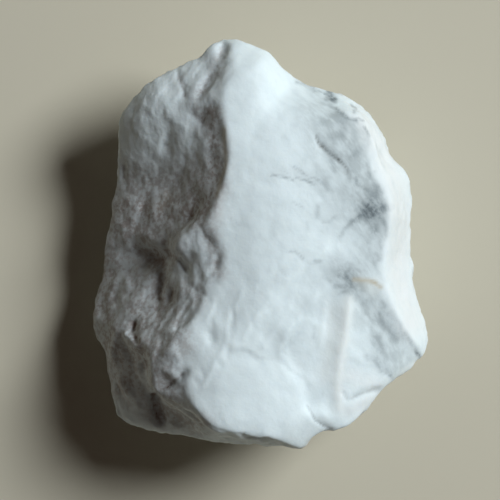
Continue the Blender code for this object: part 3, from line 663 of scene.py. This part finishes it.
@dataclass
class Stone:
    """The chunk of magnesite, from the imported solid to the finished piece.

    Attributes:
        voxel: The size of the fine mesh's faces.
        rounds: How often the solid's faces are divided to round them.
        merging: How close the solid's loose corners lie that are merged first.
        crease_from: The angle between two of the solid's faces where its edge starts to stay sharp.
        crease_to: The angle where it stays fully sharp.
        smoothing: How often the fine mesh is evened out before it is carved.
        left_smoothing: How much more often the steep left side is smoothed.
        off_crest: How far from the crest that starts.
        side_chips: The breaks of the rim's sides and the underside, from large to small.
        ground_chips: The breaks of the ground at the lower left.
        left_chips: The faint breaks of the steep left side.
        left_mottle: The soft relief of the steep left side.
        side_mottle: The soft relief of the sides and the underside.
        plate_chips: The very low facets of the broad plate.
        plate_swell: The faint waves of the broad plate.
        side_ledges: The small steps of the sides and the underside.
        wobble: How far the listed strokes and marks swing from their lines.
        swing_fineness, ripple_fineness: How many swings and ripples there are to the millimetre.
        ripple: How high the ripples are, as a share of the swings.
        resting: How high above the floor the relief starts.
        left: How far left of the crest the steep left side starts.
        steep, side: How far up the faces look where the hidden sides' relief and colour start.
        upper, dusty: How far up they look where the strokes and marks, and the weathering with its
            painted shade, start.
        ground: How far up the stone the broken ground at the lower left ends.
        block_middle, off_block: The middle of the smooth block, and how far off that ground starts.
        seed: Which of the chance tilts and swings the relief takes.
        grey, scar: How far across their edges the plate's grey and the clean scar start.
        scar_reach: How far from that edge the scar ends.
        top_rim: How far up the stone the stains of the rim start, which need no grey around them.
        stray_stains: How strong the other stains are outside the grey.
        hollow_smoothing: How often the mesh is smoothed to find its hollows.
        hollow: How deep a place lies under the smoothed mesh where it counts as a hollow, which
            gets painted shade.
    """

    voxel: float = 0.205
    rounds: int = 2
    merging: float = 0.001
    crease_from: float = 34
    crease_to: float = 60
    smoothing: int = 3
    left_smoothing: int = 4
    off_crest: Rise = Rise(0.3, 0.8)
    side_chips: tuple[Chips, ...] = (Chips(2.6, 0.20, 0.08), Chips(1.1, 0.24, 0.10))
    ground_chips: tuple[Chips, ...] = (Chips(1.8, 0.26, 0.12), Chips(0.9, 0.14, 0.16))
    left_chips: tuple[Chips, ...] = (Chips(1.5, 0.16, 0.16),)
    left_mottle: Mottle = Mottle(0.056, 0.80, 4, 0.80, Vector((0.75, 1.15, 0.35)))
    side_mottle: Mottle = Mottle(0.030, 0.70, 4, 0.85)
    plate_chips: tuple[Chips, ...] = (Chips(2.2, 0.09, 0.14), Chips(0.9, 0.05, 0.14))
    plate_swell: Mottle = Mottle(0.022, 1.5, 4, 0.90)
    side_ledges: Ledges = Ledges(0.09, 1.5, Vector((0.45, -0.30, 0.85)).normalized(), 0.8, 0.18)
    wobble: float = 0.12
    swing_fineness: float = 0.9
    ripple_fineness: float = 2.9
    ripple: float = 0.4
    resting: Rise = Rise(0.05, 0.5)
    left: Rise = Rise(0.1, -0.6)
    steep: Rise = Rise(0.5, 0.1)
    upper: Rise = Rise(-0.1, 0.2)
    ground: Rise = Rise(2.5, 0.0)
    block_middle: tuple[float, float] = (-6.2, -0.2)
    off_block: Rise = Rise(0.8, 2.4)
    seed: int = 3
    grey: Rise = Rise(0.35, -0.25)
    scar: Rise = Rise(0.12, -0.12)
    scar_reach: Rise = Rise(4, 3)
    top_rim: Rise = Rise(9, 11)
    stray_stains: float = 0.35
    side: Rise = Rise(0.45, 0.05)
    dusty_and_shaded: Rise = Rise(-0.7, 0.1)
    hollow_smoothing: int = 12
    hollow: Rise = Rise(0.005, 0.15)

    def build(self, node: bpy.types.Object) -> bpy.types.Object:
        """Makes the finished stone.

        Args:
            node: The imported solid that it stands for, which stays as it is.

        Returns:
            The piece, with its place in its mesh.
        """
        noise.seed_set(self.seed)
        mesh = self.fine_mesh(node)
        surface = self.even_out(Surface(mesh))
        surface = self.keep_size(self.carve(surface), node)
        self.paint_marks(surface)
        mesh.transform(Matrix.Scale(MM, 4))
        mesh.shade_smooth()
        return placed("raw_magnesite", mesh)

    def fine_mesh(self, node: bpy.types.Object) -> bpy.types.Mesh:
        """Rounds the solid's faces, keeps its sharp edges and remeshes it finely.

        Args:
            node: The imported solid.

        Returns:
            The fine mesh, in millimetres.
        """
        shape = bmesh.new()
        shape.from_mesh(node.data)
        bmesh.ops.scale(shape, vec=(1 / MM,) * 3, verts=shape.verts)
        bmesh.ops.remove_doubles(shape, verts=shape.verts, dist=self.merging)
        crease = shape.edges.layers.float.new("crease_edge")
        span = self.crease_to - self.crease_from
        for edge in shape.edges:
            angle = math.degrees(edge.calc_face_angle(0))
            edge[crease] = min(max((angle - self.crease_from) / span, 0), 1)
        mesh = bpy.data.meshes.new("raw_magnesite")
        shape.to_mesh(mesh)
        shape.free()
        rounded = placed("rounded", mesh)
        rounding = rounded.modifiers.new("rounding", "SUBSURF")
        rounding.levels = rounding.render_levels = self.rounds
        refining = rounded.modifiers.new("refining", "REMESH")
        refining.mode = "VOXEL"
        refining.voxel_size = self.voxel
        graph = bpy.context.evaluated_depsgraph_get()
        fine = bpy.data.meshes.new_from_object(rounded.evaluated_get(graph))
        bpy.data.objects.remove(rounded)
        return fine

    def even_out(self, surface: Surface) -> Surface:
        """Takes the steps of the fine mesh away, and softens the steep left side.

        Args:
            surface: The fine mesh's vertices.

        Returns:
            The vertices after the smoothing.
        """
        away = Beside.path(ARRIS, surface.places[:, :2]).far
        soft = self.left_share(surface) * self.off_crest.of(away) > 0.5
        shape = bmesh.new()
        shape.from_mesh(surface.mesh)
        shape.verts.ensure_lookup_table()
        left_side = [shape.verts[number] for number in np.flatnonzero(soft)]
        for number in range(self.smoothing + self.left_smoothing):
            smooth(shape, shape.verts if number < self.smoothing else left_side)
        shape.to_mesh(surface.mesh)
        shape.free()
        return Surface(surface.mesh)

    def left_share(self, surface: Surface) -> np.ndarray:
        """How much each vertex belongs to the steep left side.

        Args:
            surface: The vertices.

        Returns:
            One share for each, 1 on the side left of the crest and 0 on the plate.
        """
        arris = np.array(ARRIS)[::-1]
        beside = surface.places[:, 0] - np.interp(surface.places[:, 1], arris[:, 1], arris[:, 0])
        return self.left.of(beside)

    def swung(self, places: np.ndarray) -> np.ndarray:
        """The x and y of every place, swung a little, so that no line drawn on them is straight.

        Args:
            places: The places, as rows.

        Returns:
            Their x and y, as rows.
        """
        swings = np.array([
            noise.noise_vector(Vector(place) * self.swing_fineness)
            + self.ripple * noise.noise_vector(Vector(place) * self.ripple_fineness)
            for place in places])
        return places[:, :2] + self.wobble * swings[:, :2]

    def carve(self, surface: Surface) -> Surface:
        """Gives the fine mesh its relief.

        Args:
            surface: The fine mesh's vertices.

        Returns:
            The vertices after the carving.
        """
        points = [Vector(place) for place in surface.places]
        steep = self.steep.of(surface.facing[:, 2])
        left = self.left_share(surface) * (1 - steep)
        ground = left * self.ground.of(surface.places[:, 1])
        from_block = np.linalg.norm(surface.places[:, :2] - self.block_middle, axis=1)
        ground *= self.off_block.of(from_block)
        plate = (1 - steep) * (1 - left)
        height = steep * (self.side_mottle.over(points) + self.side_ledges.over(points))
        height += left * self.left_mottle.over(points) + plate * self.plate_swell.over(points)
        for share, chips in (
                (steep, self.side_chips), (left * (1 - ground), self.left_chips),
                (ground, self.ground_chips), (plate, self.plate_chips)):
            height += share * sum(chip.over(points) for chip in chips)
        flat = self.swung(surface.places)
        upper = self.upper.of(surface.facing[:, 2])
        height += upper * sum(stroke_height(stroke, flat) for stroke in STROKES)
        return surface.write(surface.raised(height * self.resting.of(surface.places[:, 2])))

    def keep_size(self, surface: Surface, node: bpy.types.Object) -> Surface:
        """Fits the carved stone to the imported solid's own box.

        Args:
            surface: The carved vertices.
            node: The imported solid.

        Returns:
            The vertices after the fit.
        """
        solid = Surface(node.data).places / MM
        low, high = surface.places.min(axis=0), surface.places.max(axis=0)
        want_low, want_high = solid.min(axis=0), solid.max(axis=0)
        share = (surface.places - low) / (high - low)
        return surface.write(want_low + share * (want_high - want_low))

    def paint_marks(self, surface: Surface) -> None:
        """Paints the colour masks of the upper side, and where the hidden sides begin.

        Args:
            surface: The finished vertices.
        """
        flat = self.swung(surface.places)
        looks_up = surface.facing[:, 2]
        clear = {mark: np.ones(len(flat)) for mark in Mark}
        for mark, dabs in DABS.items():
            for dab in dabs:
                reach = Beside.path(dab.points, flat).far / dab.half_width
                clear[mark] *= 1 - dab.strength * np.exp(-reach * reach)
        grey = self.grey.of(Beside.path(GREY_EDGE, flat).across)
        scar = Beside.path(SCAR_EDGE, flat)
        grey *= 1 - self.scar.of(scar.across) * (scar.along > 0) * self.scar_reach.of(scar.far)
        clear[Mark.VEIL] = 1 - (1 - clear[Mark.VEIL]) * grey
        stained = self.stray_stains + (1 - self.stray_stains) * grey
        stained = np.maximum(stained, self.top_rim.of(flat[:, 1]))
        clear[Mark.STAIN] = 1 - (1 - clear[Mark.STAIN]) * stained
        # The left side, which the finish tints with painted light
        clear[Mark.LEFT] = 1 - self.left_share(surface)
        clear[Mark.SIDE] = 1 - self.side.of(looks_up)
        # The hollows, which the finish darkens with painted shade
        clear[Mark.HOLLOW] = 1 - self.hollow.of(self.hollowness(surface))
        # The weathering and its painted shade, fading out where the faces look down
        clear[Mark.DUST_AND_SHADE] = 1 - (1 - clear[Mark.DUST_AND_SHADE]) * self.dusty_and_shaded.of(looks_up)
        upper = self.upper.of(looks_up)
        for mark, left_clear in clear.items():
            share = 1 if mark in (Mark.SIDE, Mark.HOLLOW, Mark.DUST_AND_SHADE) else upper
            surface.paint(mark, share * (1 - left_clear))

    def hollowness(self, surface: Surface) -> np.ndarray:
        """How far each vertex lies under the smoothed mesh.

        Args:
            surface: The vertices.

        Returns:
            One depth for each, in millimetres.
        """
        shape = bmesh.new()
        shape.from_mesh(surface.mesh)
        for _ in range(self.hollow_smoothing):
            smooth(shape, shape.verts)
        smoothed = np.array([vert.co for vert in shape.verts])
        shape.free()
        return np.einsum("ij,ij->i", smoothed - surface.places, surface.facing)


class Wire:
    """An output socket of a finish, with Python's operators as Math nodes."""

    def __init__(self, finish: "FinishTree", socket: bpy.types.NodeSocket) -> None:
        """Keeps the socket and the tree that it is in."""
        self.finish = finish
        self.socket = socket

    def __add__(self, other: "Wire | float") -> "Wire":
        """The sum."""
        return self.finish.maths("ADD", self, other)

    __radd__ = __add__

    def __sub__(self, other: "Wire | float") -> "Wire":
        """The difference."""
        return self.finish.maths("SUBTRACT", self, other)

    def __rsub__(self, other: float) -> "Wire":
        """The difference from a number."""
        return self.finish.maths("SUBTRACT", other, self)

    def __mul__(self, other: "Wire | float") -> "Wire":
        """The product."""
        return self.finish.maths("MULTIPLY", self, other)

    __rmul__ = __mul__


@dataclass(frozen=True)
class Lumps:
    """A noise texture: its lumps to the millimetre, its detail and its roughness."""

    fineness: float
    detail: float
    roughness: float


@dataclass(frozen=True)
class Patches:
    """How a mark comes and goes with a pattern.

    Attributes:
        rise: Where the pattern counts as high.
        gain: How much stronger the mark is there.
        least: How strong it is elsewhere.
    """

    rise: Rise
    gain: float
    least: float


class FinishTree:
    """The node tree of one material."""

    def __init__(self, name: str) -> None:
        """Starts a material with only its shader and its output."""
        self.material = bpy.data.materials.new(name)
        self.material.use_nodes = True
        self.nodes = self.material.node_tree.nodes
        self.shader = self.nodes["Principled BSDF"]

    def node(
        self, kind: str, settings: dict[str, Any] | None = None,
        values: dict[str | int, Any] | None = None, output: str | int = 0,
    ) -> Wire:
        """Adds a node.

        Args:
            kind: The node's type.
            settings: Its own options, set before its sockets.
            values: What its sockets hold or are linked to, by name or number.
            output: The socket that is read.

        Returns:
            The output socket.
        """
        made = self.nodes.new(kind)
        for name, value in (settings or {}).items():
            setattr(made, name, value)
        for name, value in (values or {}).items():
            self.feed(made.inputs[name], value)
        return Wire(self, made.outputs[output])

    def feed(self, socket: bpy.types.NodeSocket, value: Any) -> None:
        """Links a wire to a socket, or sets the socket to a value.

        Args:
            socket: The socket of a node.
            value: The wire or the value.
        """
        if isinstance(value, Wire):
            self.material.node_tree.links.new(value.socket, socket)
        else:
            socket.default_value = value

    def maths(self, operation: str, *values: Any, clamp: bool = False) -> Wire:
        """Adds a Math node on its values."""
        settings = {"operation": operation, "use_clamp": clamp}
        return self.node("ShaderNodeMath", settings, dict(enumerate(values)))

    def ranged(self, value: Wire, rise: Rise) -> Wire:
        """Rises softly from 0 to 1 with a value."""
        settings = {"interpolation_type": "SMOOTHSTEP"}
        return self.node("ShaderNodeMapRange", settings, {0: value, 1: rise.start, 2: rise.end})

    def patchy(self, pattern: Wire, patches: Patches) -> Wire:
        """How strong a mark is, as it comes and goes with a pattern."""
        return patches.least + self.ranged(pattern, patches.rise) * patches.gain

    def noise(self, place: Wire, lumps: Lumps) -> Wire:
        """Adds a noise texture."""
        values = {"Scale": lumps.fineness, "Detail": lumps.detail, "Roughness": lumps.roughness}
        return self.node("ShaderNodeTexNoise", values={"Vector": place, **values})

    @staticmethod
    def blend(first: Wire, second: Wire, share: float) -> Wire:
        """Mixes two patterns, with this share of the first."""
        return first * share + second * (1 - share)

    def tint(self, share: Any, first: Any, second: Any) -> Wire:
        """Mixes two colours, which a Mix node takes in its sockets 6 and 7."""
        return self.node(
            "ShaderNodeMix", {"data_type": "RGBA"}, {0: share, 6: first, 7: second}, output=2)


@dataclass(frozen=True)
class WhiteMagnesite:
    """The porcelain-white stone, with grey veils, stains, veins, creamy edges and weathering.

    Some of the colours are painted light and shade: a lighter, bluer left side, shade with the
    weathering and in every hollow, shade along the left crest and in the grooves, and highlight on
    the crests.

    Attributes:
        body: The stone, a faintly bluish white.
        clean: The cleanest parts.
        cloud: The soft grey clouds.
        veil: The greyer stone of the clouded parts.
        stain: The dark blue-grey stains.
        dust_and_shade: The brownish-grey weathering, which is also painted shade on the left side,
            below the shelf, beside the crest and in the corners.
        left: A lighter, bluer tone of the left side's clean parts, which is painted light: the cool
            light grazing them.
        cream_and_highlight: The pale edges of the crests, partly painted highlight where the crests
            catch the light.
        rust_and_crest_shade: The golden-brown threads, and the painted warm shade along the left
            crest.
        vein_and_groove_shade: The dark thin veins and cracks, partly painted shade in the cracks
            and grooves.
        broad, soft, fine, streaks: The patterns of the colours, the last one slanting.
        streak_angle, streak_length: The way the streaks run, and how stretched they are.
        clouds, cloud_gain: Where the clouds lie, and how strong they are.
        side_clouds, side_cloud_gain: The same for the clouds of the hidden sides.
        side_clean: How clean the hidden sides are.
        cloud_mix, mark_mix: The first pattern's share in that of the clouds and of a mark.
        veil_patches, dust_and_shade_patches, stain_patches, vein_and_shade_patches: How these marks
        come and go.
        hollow_dust_and_shade: The weathering and painted shade of every hollow, and what the left
            side and the marks of weathering add.
        side_dust_and_shade: The weathering of the hidden sides, and the painted shade that their
            hollows add.
        winding, thread: The pattern whose middle the thin threads follow, and how thin they are.
        threads, thread_gain: Where they show on the hidden sides, and how strong they are.
        grain, grain_height, bump: The finest grain, how high it is and how it tilts the light.
        grain_share: How strong it is, and what the left side adds.
        roughness: How matt the stone is.
        depth_share, depth, depth_colours: How much light goes into it, and how far, by colour.
    """

    name: str = "white_magnesite"
    body: Colour = (0.775, 0.880, 0.925, 1)
    clean: Colour = (0.785, 0.832, 0.850, 1)
    cloud: Colour = (0.62, 0.715, 0.755, 1)
    veil: Colour = (0.44, 0.505, 0.530, 1)
    stain: Colour = (0.13, 0.165, 0.185, 1)
    dust_and_shade: Colour = (0.29, 0.222, 0.195, 1)
    left: Colour = (0.83, 0.94, 1.0, 1)
    cream_and_highlight: Colour = (0.855, 0.925, 0.935, 1)
    rust_and_crest_shade: Colour = (0.47, 0.41, 0.29, 1)
    vein_and_groove_shade: Colour = (0.085, 0.080, 0.070, 1)
    broad: Lumps = Lumps(0.45, 4, 0.55)
    soft: Lumps = Lumps(0.95, 3, 0.50)
    fine: Lumps = Lumps(2.6, 4, 0.55)
    streaks: Lumps = Lumps(1.5, 4, 0.55)
    streak_angle: float = math.radians(-52)
    streak_length: float = 3.2
    clouds: Rise = Rise(0.45, 0.66)
    cloud_gain: float = 0.24
    cloud_mix: float = 0.5
    mark_mix: float = 0.6
    side_clean: float = 0.8
    side_clouds: Rise = Rise(0.5, 0.72)
    side_cloud_gain: float = 0.60
    veil_patches: Patches = Patches(Rise(0.36, 0.64), 0.62, 0.62)
    dust_and_shade_patches: Patches = Patches(Rise(0.42, 0.60), 0.5, 0.36)
    hollow_dust_and_shade: tuple[float, float, float] = (0.06, 0.2, 0.25)
    side_dust_and_shade: tuple[float, float] = (0.05, 0.15)
    stain_patches: Patches = Patches(Rise(0.36, 0.64), 0.7, 0.62)
    winding: Lumps = Lumps(0.13, 5, 0.55)
    thread: Rise = Rise(0.0, 0.012)
    threads: Rise = Rise(0.50, 0.64)
    thread_gain: float = 0.5
    vein_and_shade_patches: Patches = Patches(Rise(0.35, 0.6), 0.4, 0.6)
    grain: Lumps = Lumps(3.0, 7, 0.60)
    grain_share: tuple[float, float] = (0.7, 0.5)
    grain_height: float = 0.05 * MM
    bump: float = 0.7
    roughness: float = 0.68
    depth_share: float = 0.2
    depth: float = 0.4 * MM
    depth_colours: tuple[float, float, float] = (1.0, 0.9, 0.8)

    def material(self) -> bpy.types.Material:
        """Builds the material.

        Returns:
            The material, which reads the marks painted on the stone.
        """
        tree = FinishTree(self.name)
        coordinates = tree.node("ShaderNodeTexCoord", output="Object")
        place = tree.node(
            "ShaderNodeMapping", values={"Vector": coordinates, "Scale": (1 / MM,) * 3})
        marks = {
            mark: tree.node("ShaderNodeAttribute", {"attribute_name": mark.value}, output="Fac")
            for mark in Mark}
        everywhere, on_left = self.grain_share
        grain = tree.noise(place, self.grain) * (everywhere + marks[Mark.LEFT] * on_left)
        values = {"Height": grain, "Distance": self.grain_height, "Strength": self.bump}
        for name, value in {
                "Base Color": self.colour(tree, place, marks),
                "Normal": tree.node("ShaderNodeBump", values=values),
                "Roughness": self.roughness, "Subsurface Weight": self.depth_share,
                "Subsurface Radius": self.depth_colours, "Subsurface Scale": self.depth}.items():
            tree.feed(tree.shader.inputs[name], value)
        return tree.material

    def colour(self, tree: FinishTree, place: Wire, marks: dict[Mark, Wire]) -> Wire:
        """Lays the stone's colours over each other, from its body to its veins, with painted light
        and shade among them.

        Args:
            tree: The nodes of the material.
            place: The place on the stone, in millimetres.
            marks: The painted masks.

        Returns:
            The colour.
        """
        side, hollow = marks[Mark.SIDE], marks[Mark.HOLLOW]
        broad, soft, fine = (
            tree.noise(place, lumps) for lumps in (self.broad, self.soft, self.fine))
        slant = tree.node(
            "ShaderNodeMapping", {"vector_type": "TEXTURE"},
            {"Vector": place, "Rotation": (0, 0, self.streak_angle),
             "Scale": (self.streak_length, 1, 1)})
        streaks = tree.noise(slant, self.streaks)

        plain = tree.maths("MAXIMUM", marks[Mark.CLEAN], side * self.side_clean)
        colour = tree.tint(plain, self.body, self.clean)
        # Painted light: the clean parts of the left side are lighter and bluer, as under the cool
        # light that grazes them
        colour = tree.tint(marks[Mark.LEFT], colour, self.left)
        clouds = tree.ranged(tree.blend(soft, streaks, self.cloud_mix), self.clouds)
        hidden = side * tree.ranged(broad, self.side_clouds) * self.side_cloud_gain
        clouded = tree.maths("MAXIMUM", clouds * self.cloud_gain, hidden, clamp=True)
        colour = tree.tint(clouded, colour, self.cloud)
        pattern = tree.blend(streaks, soft, self.mark_mix)
        veil = marks[Mark.VEIL] * tree.patchy(pattern, self.veil_patches)
        colour = tree.tint(tree.maths("MINIMUM", veil, 1), colour, self.veil)

        # Brownish weathering that is also painted shade, heaviest on the left side below the shelf,
        # beside the crest and in the corners
        pattern = tree.blend(fine, soft, self.mark_mix)
        weathered_and_shaded = marks[Mark.DUST_AND_SHADE] * tree.patchy(pattern, self.dust_and_shade_patches)
        # Every hollow is darkened with painted shade, more on the left side and within the marks of
        # weathering
        everywhere, on_left, dusty_and_shaded = self.hollow_dust_and_shade
        weathered_and_shaded = weathered_and_shaded + hollow * (
            everywhere + marks[Mark.LEFT] * on_left + marks[Mark.DUST_AND_SHADE] * dusty_and_shaded)
        # The hidden sides' weathering, with painted shade in their hollows
        everywhere, in_hollows = self.side_dust_and_shade
        weathered_and_shaded = weathered_and_shaded + side * (everywhere + hollow * in_hollows)
        colour = tree.tint(tree.maths("MINIMUM", weathered_and_shaded, 1), colour, self.dust_and_shade)

        pattern = tree.blend(streaks, fine, self.mark_mix)
        speckled = marks[Mark.STAIN] * tree.patchy(pattern, self.stain_patches)
        off_middle = tree.maths("ABSOLUTE", tree.noise(place, self.winding) - 0.5)
        thread = side * (1 - tree.ranged(off_middle, self.thread))
        scattered = thread * tree.ranged(broad, self.threads) * self.thread_gain
        stained = tree.maths("MAXIMUM", speckled, scattered, clamp=True)
        colour = tree.tint(stained, colour, self.stain)
        # Creamy edges, partly painted highlight along the lit crests
        colour = tree.tint(marks[Mark.CREAM_AND_HIGHLIGHT], colour, self.cream_and_highlight)
        # Golden-brown threads, with a painted warm shade along the left crest
        colour = tree.tint(marks[Mark.RUST_AND_CREST_SHADE], colour, self.rust_and_crest_shade)
        # Thin dark veins, with painted shade in the crack and the grooves
        veined_and_shaded = marks[Mark.VEIN_AND_GROOVE_SHADE] * tree.patchy(fine, self.vein_and_shade_patches)
        return tree.tint(veined_and_shaded, colour, self.vein_and_groove_shade)


@dataclass(frozen=True)
class Studio:
    """The pale floor, the soft light and the camera that looks straight down.

    Attributes:
        camera_height: How high the camera stands above the floor.
        pixel: How much of the stone one pixel of the picture shows.
        focus_height: The height at which a pixel shows that much.
        frame: How many pixels the picture is wide.
        frame_centre: The place over which the camera stands.
        key_azimuth: The direction that the light comes from, anticlockwise from +X.
        key_elevation: How high it stands.
        key_distance: How far away it is.
        key_size: How wide it is.
        key_power: Its power.
        key_colour: Its colour.
        room_colour, room_strength: The light from all around.
        floor_colour, floor_roughness, floor_radius, floor_sides: The floor.
        nearest: How near to the camera things still show.
    """

    camera_height: float = 0.40
    pixel: float = 0.0931 * MM
    focus_height: float = 12 * MM
    frame: int = 500
    frame_centre: tuple[float, float] = (-0.93 * MM, -0.58 * MM)
    key_azimuth: float = math.radians(27)
    key_elevation: float = math.radians(46)
    key_distance: float = 0.80
    key_size: float = 0.34
    key_power: float = 6.6
    key_colour: tuple[float, float, float] = (0.95, 0.99, 1.0)
    room_colour: Colour = (1, 0.78, 0.66, 1)
    room_strength: float = 0.04
    floor_colour: Colour = (0.575, 0.545, 0.445, 1)
    floor_roughness: float = 0.9
    floor_radius: float = 2.0
    floor_sides: int = 64
    nearest: float = 0.01

    def build(self) -> None:
        """Sets up the floor, the light, the world and the camera."""
        self.lay_floor()
        self.hang_light()
        self.fill_room()
        self.place_camera()

    def lay_floor(self) -> None:
        """Lays the pale floor."""
        shape = bmesh.new()
        bmesh.ops.create_circle(
            shape, cap_ends=True, radius=self.floor_radius, segments=self.floor_sides)
        mesh = bpy.data.meshes.new("floor")
        shape.to_mesh(mesh)
        shape.free()
        tree = FinishTree("pale_floor")
        tree.feed(tree.shader.inputs["Base Color"], self.floor_colour)
        tree.feed(tree.shader.inputs["Roughness"], self.floor_roughness)
        mesh.materials.append(tree.material)
        placed("floor", mesh)

    def hang_light(self) -> None:
        """Hangs the soft light."""
        lamp = bpy.data.lights.new("key", "AREA")
        lamp.shape = "DISK"
        lamp.size = self.key_size
        lamp.energy = self.key_power
        lamp.color = self.key_colour
        key = placed("key", lamp)
        level = math.cos(self.key_elevation)
        way = Vector((
            level * math.cos(self.key_azimuth), level * math.sin(self.key_azimuth),
            math.sin(self.key_elevation)))
        key.location = way * self.key_distance
        key.rotation_mode = "QUATERNION"
        key.rotation_quaternion = way.to_track_quat("Z", "Y")

    def fill_room(self) -> None:
        """Fills the room with dim warm light."""
        world = bpy.data.worlds.new("room")
        world.use_nodes = True
        background = world.node_tree.nodes["Background"]
        background.inputs["Color"].default_value = self.room_colour
        background.inputs["Strength"].default_value = self.room_strength
        bpy.context.scene.world = world
        bpy.context.scene.view_settings.view_transform = "Standard"

    def place_camera(self) -> None:
        """Places the camera over the stone."""
        lens = bpy.data.cameras.new("camera")
        lens.lens = lens.sensor_width * (self.camera_height - self.focus_height) / (
            self.frame * self.pixel)
        lens.clip_start = self.nearest
        camera = placed("camera", lens)
        camera.location = (*self.frame_centre, self.camera_height)
        bpy.context.scene.camera = camera


def main() -> None:
    """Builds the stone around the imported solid, and its studio."""
    logging.basicConfig(level=logging.INFO, format="%(name)s: %(message)s")
    for old in list(bpy.data.objects):
        bpy.data.objects.remove(old)
    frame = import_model()
    stone = Stone().build(frame["nodes"][CAD_NODE])
    stone.data.materials.append(WhiteMagnesite().material())
    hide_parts(CAD_NODE)
    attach(stone, BODY)
    log.info("%s: %d faces", stone.name, len(stone.data.polygons))
    Studio().build()


if __name__ == "__main__":
    main()
